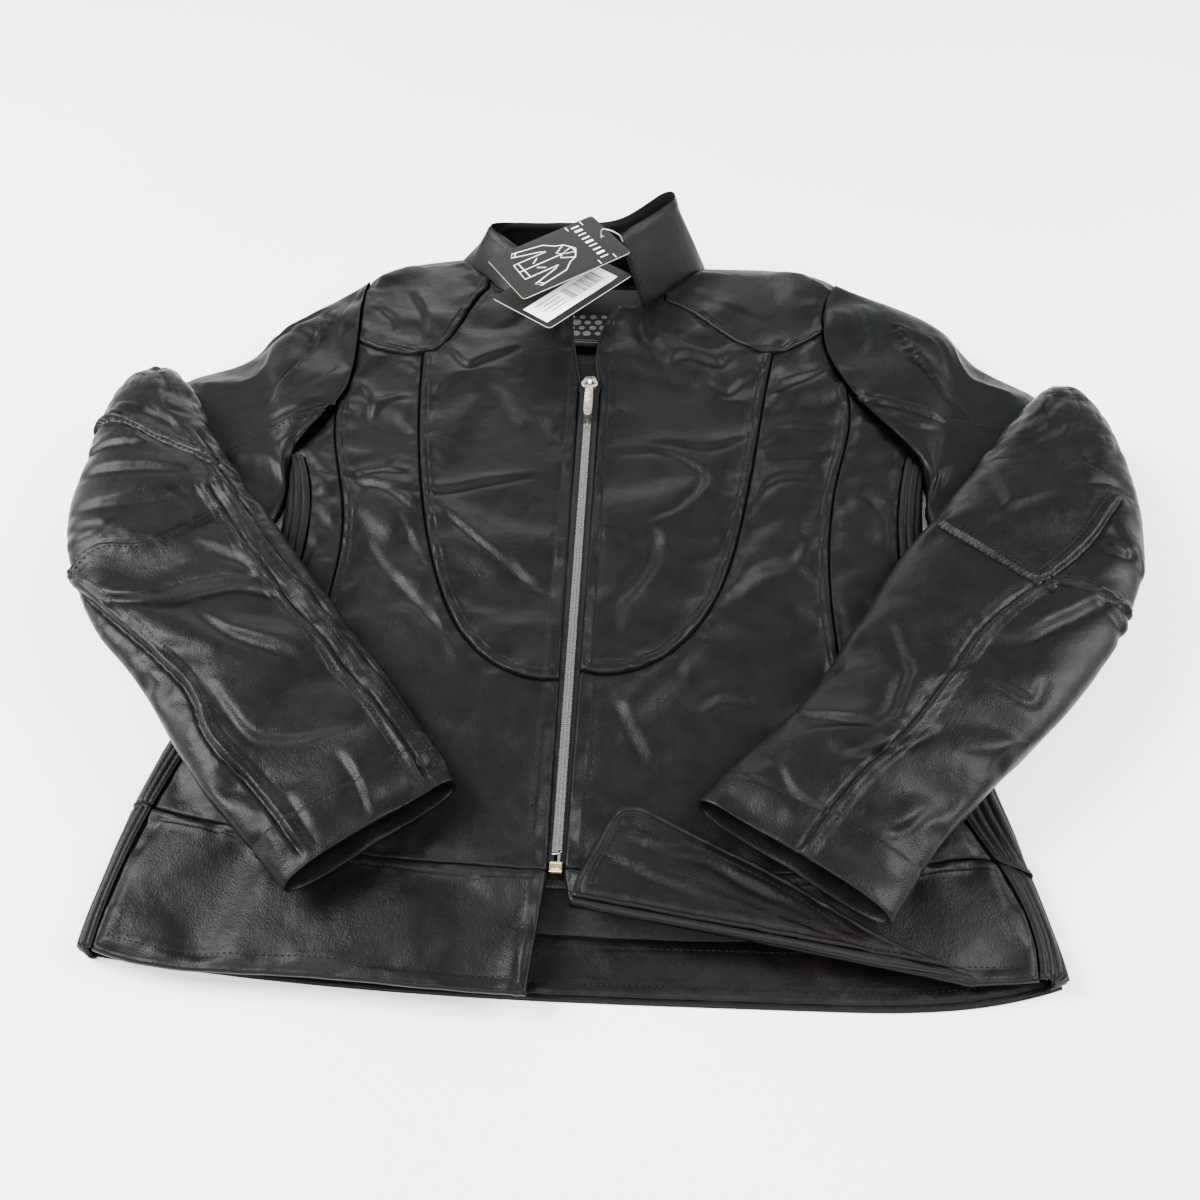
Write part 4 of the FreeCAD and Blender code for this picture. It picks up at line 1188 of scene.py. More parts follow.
# Creases on top of the sleeves, as for the fronts.
SLEEVE_CREASES = {
    "right_forearm": [
        ([(-306, -100), (-280, -112), (-255, -115), (-222, -105), (-195, -100), (-160, -112)], 6.5, 6.5),
        ([(-228, -122), (-193, -143), (-157, -153)], 7.0, 4.2),
        ([(-280, -118), (-238, -145), (-206, -156)], 7.0, 3.4),
        ([(-204, -168), (-179, -201), (-160, -206), (-116, -194)], 4.2, 3.2),
        ([(-328, -14), (-287, -8), (-256, -4)], 5.4, 3.4), ([(-322, -46), (-287, -38), (-260, -26)], 5.4, 3.0),
        ([(-316, -74), (-295, -66), (-286, -50)], 4.6, 2.2), ([(-330, 6), (-315, 15), (-290, 14)], 5.0, 2.4),
        ([(-326, -62), (-306, -58), (-288, -60)], 4.4, 1.4),
        ([(-322, 38), (-304, 52), (-268, 30)], 6.0, 2.4), ([(-130, -208), (-119, -222), (-108, -246)], 4.0, 2.6),
        ([(-110, -190), (-97, -206), (-88, -226)], 3.6, 1.8),
        ([(-150, -232), (-140, -246), (-130, -262)], 4.0, 1.8),
        ([(-240, -70), (-215, -78), (-196, -92)], 6.0, 2.2)],
    "left_forearm": [
        ([(163, -104), (167, -150), (156, -180), (113, -178)], 5.5, 4.2),
        ([(110, -174), (138, -180), (168, -190)], 4.6, 3.4), ([(128, -206), (160, -198), (186, -185)], 4.0, 3.4),
        ([(216, -124), (244, -118), (272, -104), (302, -86)], 6.5, 4.6),
        ([(212, -150), (235, -165), (246, -148)], 5.0, 3.0), ([(140, -240), (159, -244), (180, -229)], 4.0, 2.6),
        ([(190, -202), (215, -196), (240, -180)], 6.0, 2.8), ([(304, -22), (311, -46), (316, -68)], 4.4, 3.4),
        ([(294, -50), (308, -56), (318, -50)], 3.8, 3.0), ([(280, -86), (297, -112), (300, -126)], 5.0, 3.2),
        ([(232, 50), (244, -2), (246, -18), (282, -6)], 6.5, 2.4), ([(268, 62), (298, 85), (304, 104)], 5.5, 2.8),
        ([(98, -204), (108, -228), (124, -240)], 4.0, 2.4), ([(322, 10), (308, 22), (300, 44)], 4.6, 3.2),
        ([(328, -6), (314, 2), (298, 2)], 4.0, 2.8)],
    "right_upper_arm": [
        ([(-256, 198), (-222, 180), (-228, 148), (-260, 100)], 5.0, 3.6),
        ([(-270, 168), (-251, 189), (-215, 224)], 4.6, 2.6), ([(-204, 232), (-208, 200), (-204, 170)], 4.2, 2.8),
        ([(-200, 150), (-208, 128), (-226, 110)], 4.2, 2.4),
        ([(-288, 74), (-266, 66), (-247, 82), (-198, 106)], 4.2, 2.6),
        ([(-204, 92), (-214, 76), (-230, 62)], 3.6, 3.0), ([(-300, 130), (-286, 110), (-276, 84)], 5.0, 3.0)],
    "left_upper_arm": [
        ([(238, 204), (259, 144), (280, 112)], 5.5, 4.0), ([(229, 80), (249, 86), (268, 98)], 4.4, 3.4),
        ([(202, 214), (219, 174), (242, 148)], 4.6, 2.8), ([(212, 200), (233, 193), (242, 166)], 4.2, 2.6),
        ([(184, 240), (190, 206), (184, 176)], 4.4, 2.2), ([(196, 100), (214, 90), (236, 92)], 4.0, 2.6),
        ([(262, 150), (276, 136), (292, 128)], 5.0, 3.0)]}


def rings_of(sections, spacing):
    """Smoothly spaced sections: inner and outer plan points, lowest and highest, and distance along."""
    table = np.array([(*a, *b, low, high) for a, b, low, high in sections], float) * MM

    def centre(rows):
        return 0.5 * (rows[:, 0:2] + rows[:, 2:4])

    count = int(np.linalg.norm(np.diff(centre(table), axis=0), axis=1).sum() / spacing)
    dense = through(table, np.linspace(1, len(table), 12 * count))
    step = travelled(centre(dense))
    even = np.linspace(0, step[-1], count)
    return sampled(even, step, dense), even


def ring_profile(count, half_width, half_height, roundness):
    """Points round a flattened tube, evenly spaced, from its inner edge over the top: (across, up)."""
    angle = np.linspace(math.pi, -math.pi, 721)
    c, s = np.cos(angle), np.sin(angle)
    x = half_width * np.sign(c) * np.abs(c) ** roundness
    y = half_height * np.sign(s) * np.abs(s) ** roundness
    step = np.r_[0, np.cumsum(np.hypot(np.diff(x), np.diff(y)))]
    even = np.linspace(0, step[-1], count, endpoint=False)
    return np.interp(even, step, x), np.interp(even, step, y)


def sleeve_grid(sections, spacing, around, shrink=0.0, armhole=None):
    """A ring grid over a sleeve, as (rings, around, 3), with the distance along it."""
    rows, along = rings_of(sections, spacing)
    grid = np.empty((len(rows), around, 3))
    seam = curve(armhole, 200) if armhole else None
    for i, (ax, ay, bx, by, low, high) in enumerate(rows):
        inner, outer = np.array([ax, ay]), np.array([bx, by])
        half_width, half_height = 0.5 * np.linalg.norm(outer - inner) - shrink, 0.5 * (high - low) - shrink
        blunt = ARMHOLE_BLUNT * (1 - smoothstep(0, 45 * MM, along[i])) if armhole else 0.0
        x, z = ring_profile(around, half_width, half_height, SLEEVE_ROUND - blunt)
        share = 0.5 + 0.5 * x / (half_width + shrink)
        plan = inner + share[:, None] * (outer - inner)
        if armhole:
            weight = 1 - smoothstep(0, 60 * MM, along[i])
            plan = plan * (1 - weight) + sampled(share, np.linspace(0, 1, 200), seam) * weight
        grid[i, :, :2], grid[i, :, 2] = plan, 0.5 * (low + high) + z
    return grid, along


def tube_normals(grid):
    normal = unit(np.cross(np.gradient(grid, axis=0), np.roll(grid, -1, 1) - np.roll(grid, 1, 1)))
    outward = ((grid - grid.mean(1, keepdims=True)) * normal).sum(2).mean()
    return normal * (np.sign(outward) or 1)


def tube_buckles(sections, armhole):
    """Coarse cloth simulation of a sleeve: its displacement over the ring grid."""
    around = 34
    grid, along = sleeve_grid(sections, SLEEVE_CELL, around, MM, armhole)
    rings = len(grid)
    ii, kk = np.meshgrid(np.arange(rings), np.arange(around), indexing="ij")
    start = 0.5 * MM * ROUGH.sum(ii * SLEEVE_CELL, kk * SLEEVE_CELL, 30 * MM, 2)
    points = (grid + tube_normals(grid) * start[..., None]).reshape(-1, 3)
    pinned = np.zeros((rings, around), bool)
    pinned[0] = pinned[-1] = True
    for share in (0.0, 0.5, 0.75):
        pinned[:, int(share * around)] = True
    pinned[along < CUFF_HEM * 0.5] = True
    settled = buckle(points, tube_faces(rings, around), pinned.ravel(), SLEEVE_GROWTH, SLEEVE_FRAMES)
    moved = settled.reshape(grid.shape) - grid
    size = np.linalg.norm(moved, axis=2, keepdims=True)
    return moved * (soft_cap(size, SLEEVE_CAP) / np.maximum(size, 1e-9)), along


def seam_relief(plan, seams):
    """Height of the sleeve's seams and the puckers beside them."""
    total, seam_gap = 0.0, np.full(len(plan), FAR)
    for seam in seams:
        signed, share = along_line(plan, curve(seam, 80))
        ends = smoothstep(0.0, 0.03, share) * (1 - smoothstep(0.97, 1.0, share))
        total += ends * (seam_band(np.where(signed > 0, signed, FAR), 1.8) - 2.4 * MM * dip(signed, 1.3 * MM)
                         - 0.6 * MM * dip(signed + 3 * MM, 3.5 * MM))
        seam_gap = np.minimum(seam_gap, np.abs(signed))
    return total, puckers(plan, seam_gap, 0.5)


def skin_relief(name, plan, upper, along, forearm):
    """Height of a sleeve's leather over its smooth skin."""
    arc = np.tile(np.arange(SKIN_AROUND) * SKIN_ARC, len(along))
    length = np.repeat(along, SKIN_AROUND)
    seams, pulled = seam_relief(plan, SLEEVE_SEAMS[name])
    relief = (0.8 * crease_height(plan, SLEEVE_CREASES[name]) + seams + pulled) * upper
    elbow = smoothstep(along[-1] - 150 * MM, along[-1] - 60 * MM, length) if forearm \
        else smoothstep(60 * MM, 150 * MM, length)
    relief = relief - MM * 0.8 * elbow * CREASE.ridges(arc + 30 * MM, length * 2.3, 32 * MM)
    relief += hide_relief(np.stack([arc + 0.3, length], 1)) * 0.7
    if forearm:
        relief += -0.9 * MM * dip(length - CUFF_HEM, 0.9 * MM) \
            + 0.5 * MM * smoothstep(CUFF_HEM, CUFF_HEM - 2 * MM, length)
        mouth = 1 - smoothstep(0, 34 * MM, length)
        gather = np.cos(arc / (17 * MM) + 2.0 * ROUGH.at(arc / (40 * MM), length * 0 + 0.4))
        relief += 1.1 * MM * mouth * gather * upper
    return relief


# How each end of a sleeve goes on from its last ring, in mm: the closed top as (share of the ring, reach), and
# the turned-in edge of the cuff as (how far inside the ring, reach).
SLEEVE_TOP = ((0.72, 2.2), (0.4, 3.4), (0.12, 3.9))
SLEEVE_TIP = 4.0
CUFF_TURN = ((0.5, 0.9), (1.6, 1.1), (2.4, 0.4), (2.7, -3.0), (3.0, -14.0), (3.6, -CUFF_HEM / MM))


def build_sleeve(side, part, sections, armhole, replaced):
    """The leather of one stretch of a sleeve, as a tube that is closed at its upper end."""
    name, around, forearm = side + "_" + part, SKIN_AROUND, part == "forearm"
    grid, along = sleeve_grid(sections, SKIN_STEP, around, 0.4 * MM, armhole)
    normal = tube_normals(grid)
    moved, coarse_along = tube_buckles(sections, armhole)
    u = np.interp(along, coarse_along, np.arange(len(coarse_along)))
    drape = bicubic(moved, *np.meshgrid(u, np.arange(around) * moved.shape[1] / around, indexing="ij"), True)
    plan = grid[..., :2].reshape(-1, 2)
    upper = smoothstep(-0.15, 0.45, normal[..., 2]).reshape(-1)
    relief = skin_relief(name, plan, upper, along, forearm)
    points = (grid + drape).reshape(-1, 3) + normal.reshape(-1, 3) * relief[:, None]
    if not forearm:
        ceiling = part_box(side + "_forearm_under")[0].z - 0.5 * MM
        near_elbow = smoothstep(40 * MM, 80 * MM, np.repeat(along, around))
        points[:, 2] -= near_elbow * np.maximum(points[:, 2] - ceiling, 0)
    low = min(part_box(node)[0].z for node in (replaced if forearm else replaced[:1])) + 0.2 * MM
    points[:, 2] = np.where(points[:, 2] < low + 2 * MM,
                            low + 2 * MM * np.exp((points[:, 2] - low - 2 * MM) / (2 * MM)), points[:, 2])
    faces = tube_faces(len(grid), around)

    last, previous = points[-around:], len(points) - around
    centre = np.mean(last, axis=0)
    direction = unit(grid[-1].mean(0) - grid[-3].mean(0))
    rings = [points]
    start = len(points)
    for share, reach in SLEEVE_TOP:
        rings.append(centre + (last - centre) * share + direction * reach * MM)
        faces += band(previous, start, around)
        previous, start = start, start + around
    rings.append([centre + direction * SLEEVE_TIP * MM])
    faces += [(previous + k, previous + (k + 1) % around, start) for k in range(around)]
    start += 1

    if forearm:
        previous = 0
        inward = -(grid[3].mean(0) - grid[0].mean(0))
        inward /= np.linalg.norm(inward)
        centre = points[:around].mean(0)
        offset = points[:around] - centre
        size = np.linalg.norm(offset, axis=1, keepdims=True)
        for shrink, reach in CUFF_TURN:
            ring = centre + offset * (1 - shrink * MM / size) + inward * reach * MM
            if reach < -1:
                ring[:, :2] += (grid[int(-reach * MM / SKIN_STEP), :, :2] - grid[0, :, :2]) \
                    - inward[:2] * reach * MM
            rings.append(ring)
            faces += band(start, previous, around)
            previous, start = start, start + around
    piece = add_mesh(name + "_skin", np.concatenate(rings), faces, SLEEVE_LEATHER, None)
    make_outward(piece)
    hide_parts(*replaced)
    return piece, grid, along


def sleeve_stitches(piece, seams):
    stitches, tree = Stitches(), mesh_tree(piece)
    for seam in seams:
        line = curve(seam, 120)
        stitches.sew(line + left_of(unit(np.gradient(line, axis=0))) * STITCH_INSET, tree)
    return stitches, tree


def lining_tube(body, sections, first, last, shrink):
    """The lining inside one stretch of a sleeve, between two distances from its lower end."""
    grid, along = sleeve_grid(sections, 5 * MM, 64, shrink)
    keep = (along >= first) & (along <= last)
    grid = grid[keep]
    rings, around = grid.shape[:2]
    sag = 0.8 * MM * ROUGH.sum(np.repeat(along[keep], around), np.tile(np.arange(around) * 4 * MM, rings),
                               18 * MM, 2)
    points = grid.reshape(-1, 3) - tube_normals(grid).reshape(-1, 3) * np.abs(sag)[:, None]
    piece = add_mesh(body + "_liner", points, tube_faces(rings, around), LINING, body)
    thicken(piece, 0.6 * MM)
    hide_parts(body + "_lining")
    girth = np.linalg.norm(grid - np.roll(grid, 1, 1), axis=2).sum(1).mean()


def build_sleeves(side):
    body = side + "_upper_arm"
    arm, grid, along = build_sleeve(side, "upper_arm", UPPER_ARM[side], ARMHOLE[side],
                                    [body + "_top", body + "_under"])
    thread = sleeve_stitches(arm, SLEEVE_SEAMS[body])[0].place(body + "_stitches", None)
    for piece in (arm, thread):
        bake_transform(piece)
    lining_tube(body, UPPER_ARM[side], 30 * MM, along[-1] - 50 * MM, 7 * MM)

    body = side + "_forearm"
    nodes = [side + "_" + part for part in ("cuff_hem", "forearm_under", "elbow_panel", "forearm_outer",
                                           "forearm_inner")]
    forearm, grid, along = build_sleeve(side, "forearm", FOREARM[side], None, nodes)
    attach(forearm, body)
    stitches, tree = sleeve_stitches(forearm, SLEEVE_SEAMS[body])
    stitches.sew(grid[int(CUFF_HEM / SKIN_STEP), 6:86, :2], tree)
    stitches.place(body + "_stitches", body)
    lining_tube(body, FOREARM[side], CUFF_HEM - 4 * MM, along[-1] - 60 * MM, 7.5 * MM)


# ---------------------------------------------------------------- collar

COLLAR_BASE = [(-33, 226, 36), (-80, 243, 35), (-106, 272, 33), (-126, 302, 28), (-62, 306, 16), (2, 305, 15),
               (66, 306, 30), (72, 292, 38), (50, 262, 39), (24, 232, 38)]
COLLAR_TOP = [(-38, 262, 49), (-66, 268, 52), (-85, 284, 54), (-99, 304, 56), (-52, 314, 52), (0, 317, 54),
              (38, 318, 78), (46, 306, 80), (28, 280, 80), (4, 252, 79)]
COLLAR_SINK = [7, 7, 7, 9, 8, 9, 20, 20, 12, 9]       # mm that the band runs down inside the neck seam, by station
COLLAR_RUN, COLLAR_SECTION = 190, 18         # points along the collar, and from base to top on each face
COLLAR_LAY = 5.4 * MM        # stitches from the collar's edges
COLLAR_TURN = 0.9 * MM       # how far the free edges turn in past the middle


def collar_offset(gap, low, v, at, half):
    """How far one face stands from the collar's middle surface: gap to the nearest free edge, low to the seam."""
    ripple = 0.55 * MM * ROUGH.one(at / (16 * MM), v * 2.0 + 3)
    puff = 0.9 * MM * math.sin(math.pi * v)
    groove = -0.4 * MM * math.exp(-((gap - COLLAR_LAY) / (0.8 * MM)) ** 2)
    edge_band = 0.4 * MM * (1 - float(smoothstep(COLLAR_LAY, COLLAR_LAY + 3 * MM, gap)))
    seam = -0.7 * MM * math.exp(-(low / (1.5 * MM)) ** 2)
    roll = -1.1 * MM * max(0, 1 - gap / (1.6 * MM)) ** 2
    return half + puff + ripple * v + groove + edge_band + seam + roll


def build_collar():
    """One leather band round the neck and its facing behind, closed over the top edge."""
    count, section = COLLAR_RUN, COLLAR_SECTION
    base, top = curve(COLLAR_BASE, count), curve(COLLAR_TOP, count)
    base[:, 2] -= MM * np.interp(np.linspace(0, 1, count), np.linspace(0, 1, len(COLLAR_SINK)), COLLAR_SINK)
    tangent = unit(np.gradient(base, axis=0))
    rise = top - base
    height = np.linalg.norm(rise, axis=1)
    normal = unit(np.cross(tangent, rise))
    outward = np.where((normal[:, :2] * left_of(tangent)).sum(1) > 0, 1, -1)[:, None] * normal
    length = travelled(0.5 * (base + top))
    border = list(range(section)) + [i * section + section - 1 for i in range(1, count)] \
        + [(count - 1) * section + k for k in range(section - 2, -1, -1)]
    pieces = []
    for name, sign, half in (("collar_band", 1, 1.25 * MM), ("collar_lay", -1, 1.1 * MM)):
        points = []
        for i in range(count):
            edge = min(length[i], length[-1] - length[i])
            for k in range(section):
                v = k / (section - 1)
                offset = collar_offset(min(edge, height[i] * (1 - v)), height[i] * v, v, length[i], half)
                points.append(base[i] + rise[i] * v + outward[i] * (sign * offset))
        faces = turned_over(grid_faces(count, section))
        if sign < 0:
            faces = [face[::-1] for face in faces]
        start = len(points)
        for index in border:
            i, k = divmod(index, section)
            push = tangent[i] * (-COLLAR_TURN if i == 0 else COLLAR_TURN if i == count - 1 else 0)
            lift = rise[i] / np.linalg.norm(rise[i]) * (COLLAR_TURN if k == section - 1 else 0)
            points.append(base[i] + rise[i] * (k / (section - 1)) + outward[i] * sign * 0.1 * MM + push + lift)
        faces += [(border[j], border[j + 1], start + j + 1, start + j)[::sign] for j in range(len(border) - 1)]
        piece = add_mesh(name, points, faces, LEATHER, "root")
        pieces.append(piece)
    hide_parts("collar_right", "collar_back", "collar_left")
    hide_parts("collar_facing")

    tree = mesh_tree(pieces[0])

    def stitch(i, v, along):
        out = Vector(outward[i])
        place, up = tree.find_nearest(Vector(base[i] + rise[i] * v) + out * 12 * MM)[:2]
        STITCHES["root"].one(place, along, up if up.dot(out) > 0 else -up)

    at = COLLAR_LAY
    while at < length[-1] - COLLAR_LAY:
        i = int(np.interp(at, length, np.arange(count)))
        stitch(i, 1 - COLLAR_LAY / height[i], Vector(tangent[i]))
        at += STITCH_PITCH
    for at in (COLLAR_LAY, length[-1] - COLLAR_LAY):
        i = int(np.interp(at, length, np.arange(count)))
        for k in range(2, int((height[i] - COLLAR_LAY) / STITCH_PITCH)):
            stitch(i, k * STITCH_PITCH / height[i], Vector(rise[i]).normalized())


# ---------------------------------------------------------------- zip

TOOTH_HEAD = 1.5 * MM        # length of a tooth's head, from its tip
HEAD_SLACK, NECK_SLACK = 0.26 * MM, 0.44 * MM    # how much slimmer the head and the neck are than the CAD tooth


def tooth_rows(name):
    """The place of each tooth, from the CAD's separate blocks."""
    mesh = NODES[name].data
    parent = list(range(len(mesh.vertices)))

    def find(i):
        while parent[i] != i:
            parent[i] = parent[parent[i]]
            i = parent[i]
        return i

    for edge in mesh.edges:
        parent[find(edge.vertices[0])] = find(edge.vertices[1])
    groups = {}
    for vertex in mesh.vertices:
        groups.setdefault(find(vertex.index), []).append(vertex.co)
    spots = {}
    for group in groups.values():
        low, high = np.array(group).min(0), np.array(group).max(0)
        key = round(0.5 * (low[1] + high[1]) * 1e4)
        if key in spots:
            low, high = np.minimum(low, spots[key][0]), np.maximum(high, spots[key][1])
        spots[key] = (low, high)
    return [spots[key] for key in sorted(spots)]


def build_teeth(side):
    name, out = "zip_teeth_" + side, OUT[side]
    points, faces = [], []
    for low, high in tooth_rows(name):
        tip, root = (high[0], low[0]) if out < 0 else (low[0], high[0])
        head = tip + out * TOOTH_HEAD
        x0, x1 = sorted((tip, head))
        bevelled_block(points, faces, (x0, low[1] + HEAD_SLACK, low[2] + 0.2 * MM),
                       (x1, high[1] - HEAD_SLACK, high[2]), 0.28 * MM)
        x0, x1 = sorted((head, root))
        bevelled_block(points, faces, (x0, low[1] + NECK_SLACK, low[2]),
                       (x1, high[1] - NECK_SLACK, high[2] - 0.35 * MM), 0.25 * MM)
    teeth = add_mesh(name + "_metal", points, faces, STEEL, "root", smooth=False)
    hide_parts(name)


def build_tape(side):
    name = "zip_tape_" + side
    top = Top(name)
    tape = cut_panel(name + "_cloth", plan_outline(name),
                     lambda plan, d: top.at(plan) + 0.12 * MM * FINE.over(plan, 5 * MM, 1)
                     + edge_roll(d, 0.2, 0.5),
                     TAPE, "root", 1.6 * MM, 0.45 * MM, (0.5, 1.0))
    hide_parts(name)


def build_wind_flap():
    top, outline = Top("zip_wind_flap"), plan_outline("zip_wind_flap")
    flap = cut_panel("zip_wind_flap_hide", outline,
                     lambda plan, d: top.at(plan) + edge_roll(d, 0.5) + 0.4 * hide_relief(plan)
                     + seam_band(d, 0.4),
                     INNER_LEATHER, "root", 3 * MM, 1.1 * MM)
    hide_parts("zip_wind_flap")
    STITCHES["root"].sew(drawn_in(resample(outline, 2 * MM), STITCH_INSET * 0.7, outline), mesh_tree(flap))


def build_box_and_pin():
    """The bottom box, with a raised rim and a ridge along its upper edge, and the pin."""
    low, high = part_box("zip_box")
    points, faces = [], []
    rim, step, ridge = 1.1 * MM, 0.5 * MM, 1.4 * MM
    bevelled_block(points, faces, tuple(low), (high.x, high.y, high.z - step), step)
    bevelled_block(points, faces, (low.x + rim, low.y + rim, high.z - MM), (high.x - rim, high.y - rim, high.z),
                   0.35 * MM)
    bevelled_block(points, faces, (low.x + step, high.y - ridge, high.z - MM),
                   (high.x - step, high.y - 0.3 * MM, high.z + 0.2 * MM), 0.25 * MM)
    piece = add_mesh("zip_box_metal", points, faces, BRASS, "root", smooth=False)
    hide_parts("zip_box")
    low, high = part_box("zip_pin")
    points, faces = [], []
    bevelled_block(points, faces, tuple(low), tuple(high), 0.3 * MM)
    piece = add_mesh("zip_pin_metal", points, faces, STEEL, "root", smooth=False)
    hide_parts("zip_pin")


# The slider's plates seen from above: across in half widths, along in lengths; the left half mirrors this one.
SHIELD = [(0.72, 0.02), (0.86, 0.30), (1.0, 0.62), (0.94, 0.78), (0.60, 0.98), (0.25, 1.0)]
SHIELD_NOTCH = (0.0, 0.93)
SLIDER_PLATES = 5.8 * MM     # from the bottom of the lower plate to the top of the upper one
CAP_LENGTH, CAP_HALF = 8.4 * MM, 1.9 * MM
CAP_ROWS, CAP_COLUMNS = 17, 10


def build_slider():
    low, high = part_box("zip_slider")
    middle_x, wide, long = 0.5 * (low.x + high.x), 0.5 * (high.x - low.x), high.y - low.y
    cy = 0.5 * (low.y + high.y)
    shape = [(-SHIELD[0][0], SHIELD[0][1])] + SHIELD + [SHIELD_NOTCH] + [(-x, y) for x, y in SHIELD[:0:-1]]
    points, faces = [], []

    def plate(scale, bottom, top):
        ring = [(middle_x + x * wide * scale, cy + (low.y + y * long - cy) * scale) for x, y in shape]
        slab(points, faces, ring, bottom, top)

    plate_top = low.z + SLIDER_PLATES
    plate(0.98, low.z, low.z + 0.9 * MM)
    plate(1.0, plate_top - MM, plate_top)
    plate(0.72, plate_top - 0.05 * MM, plate_top + 0.35 * MM)
    post = [(middle_x + x * MM, cy + y * MM) for x, y in ((-0.8, 3), (0.8, 3), (0.8, 6), (-0.8, 6))]
    slab(points, faces, post, low.z + 0.5 * MM, plate_top - 0.5 * MM)
    body = add_mesh("zip_slider_body", points, faces, STEEL, "zip_slider")
    rounded(body, 0.28 * MM)
    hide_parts("zip_slider")

    # the domed cap that holds the pull
    points = []
    for i in range(CAP_ROWS):
        t = i / (CAP_ROWS - 1)
        arch = math.sin(math.pi * t) ** 0.55
        for k in range(CAP_COLUMNS):
            a = math.pi * k / (CAP_COLUMNS - 1)
            points.append((middle_x + CAP_HALF * (0.55 + 0.45 * arch) * math.cos(a),
                           cy - 0.5 * CAP_LENGTH + CAP_LENGTH * t,
                           plate_top - 0.1 * MM + (high.z - plate_top) * arch * (0.25 + 0.75 * math.sin(a))))
    faces = [face[::-1] for face in grid_faces(CAP_ROWS, CAP_COLUMNS)]
    cap = add_mesh("zip_slider_cap", points, faces, STEEL, "zip_slider")
    thicken(cap, 0.6 * MM)


PULL_THICK, EYE_LENGTH, EYE_WALL, EYE_POINTS = 1.4 * MM, 10 * MM, 1.9 * MM, 48
# The right edge of the pull's bar in mm, from the eye down to its end; the left edge mirrors it.
PULL_BAR = [(2.2, 0.6), (2.7, -2.0), (3.0, -8.0), (3.0, -26.0), (2.6, -28.6), (1.5, -30.0)]


def build_pull():
    low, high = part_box("zip_pull")
    middle_x, z = 0.5 * (low.x + high.x), 0.5 * (low.z + high.z)
    eye_half, count = 0.5 * (high.x - low.x), EYE_POINTS
    eye_y = high.y - 0.7 * MM - 0.5 * EYE_LENGTH + 0.3 * MM
    points, faces = [], []
    for z_at in (z - 0.5 * PULL_THICK, z + 0.5 * PULL_THICK):
        for wall in (0, EYE_WALL):
            across, along = eye_half - wall, 0.5 * EYE_LENGTH - wall
            points += [(middle_x + across * math.cos(a), eye_y + along * math.sin(a), z_at)
                       for a in (2 * math.pi * k / count for k in range(count))]
    for k in range(count):
        a, b, c, d = k, (k + 1) % count, count + (k + 1) % count, count + k
        up = 2 * count
        faces += [(a, d, c, b), (a + up, b + up, c + up, d + up), (a, b, b + up, a + up), (d + up, c + up, c, d)]
    ring = [(-PULL_BAR[0][0], PULL_BAR[0][1])] + PULL_BAR + [(-x, y) for x, y in PULL_BAR[:0:-1]]
    ring = [(x * MM, y * MM) for x, y in ring]
    bar_y = low.y + 30 * MM
    inlay = [(x * 0.62, y * 0.8 - 2.6 * MM) for x, y in ring]
    for outline, bottom, top in ((ring, -0.45, 0.45), (inlay, 0.40, 0.62)):
        slab(points, faces, [(middle_x + x, bar_y + y) for x, y in outline][::-1], z + bottom * PULL_THICK,
             z + top * PULL_THICK)
    piece = add_mesh("zip_pull_metal", points, faces, PULL_METAL, "zip_pull")
    make_outward(piece)
    rounded(piece, 0.3 * MM)
    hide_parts("zip_pull")


# ---------------------------------------------------------------- hang tags

CARD_WIDTH, CARD_CORNER = 58 * MM, 3 * MM
HOLE = (8 * MM, 0.5 * CARD_WIDTH)            # the hole's place along and across a card
HOLE_RADIUS, HOLE_POINTS = 2.2 * MM, 24
CARD_ALONG = {"hang_tag_front": (-0.835, -0.538, -0.11), "hang_tag_back": (-0.63, -0.777, 0.0)}

# The drawing on the front card, as shares of its length and width: a plain jacket's outline, collar, front edge,
# hem, lapels, pockets and cuffs.
DRAWING = [
    [(0.36, 0.44), (0.40, 0.34), (0.46, 0.30), (0.54, 0.18), (0.80, 0.10), (0.83, 0.17), (0.60, 0.29),
     (0.56, 0.33), (0.86, 0.33), (0.87, 0.67), (0.56, 0.67), (0.60, 0.71), (0.83, 0.83), (0.80, 0.90),
     (0.54, 0.82), (0.46, 0.70), (0.40, 0.66), (0.36, 0.56)],
    [(0.36, 0.44), (0.34, 0.50), (0.36, 0.56)], [(0.36, 0.44), (0.47, 0.50), (0.36, 0.56)],
    [(0.47, 0.50), (0.87, 0.50)], [(0.82, 0.33), (0.82, 0.67)], [(0.40, 0.34), (0.50, 0.44), (0.47, 0.50)],
    [(0.40, 0.66), (0.50, 0.56), (0.47, 0.50)], [(0.66, 0.38), (0.72, 0.45)], [(0.66, 0.62), (0.72, 0.55)],
    [(0.77, 0.11), (0.80, 0.18)], [(0.77, 0.89), (0.80, 0.82)]]


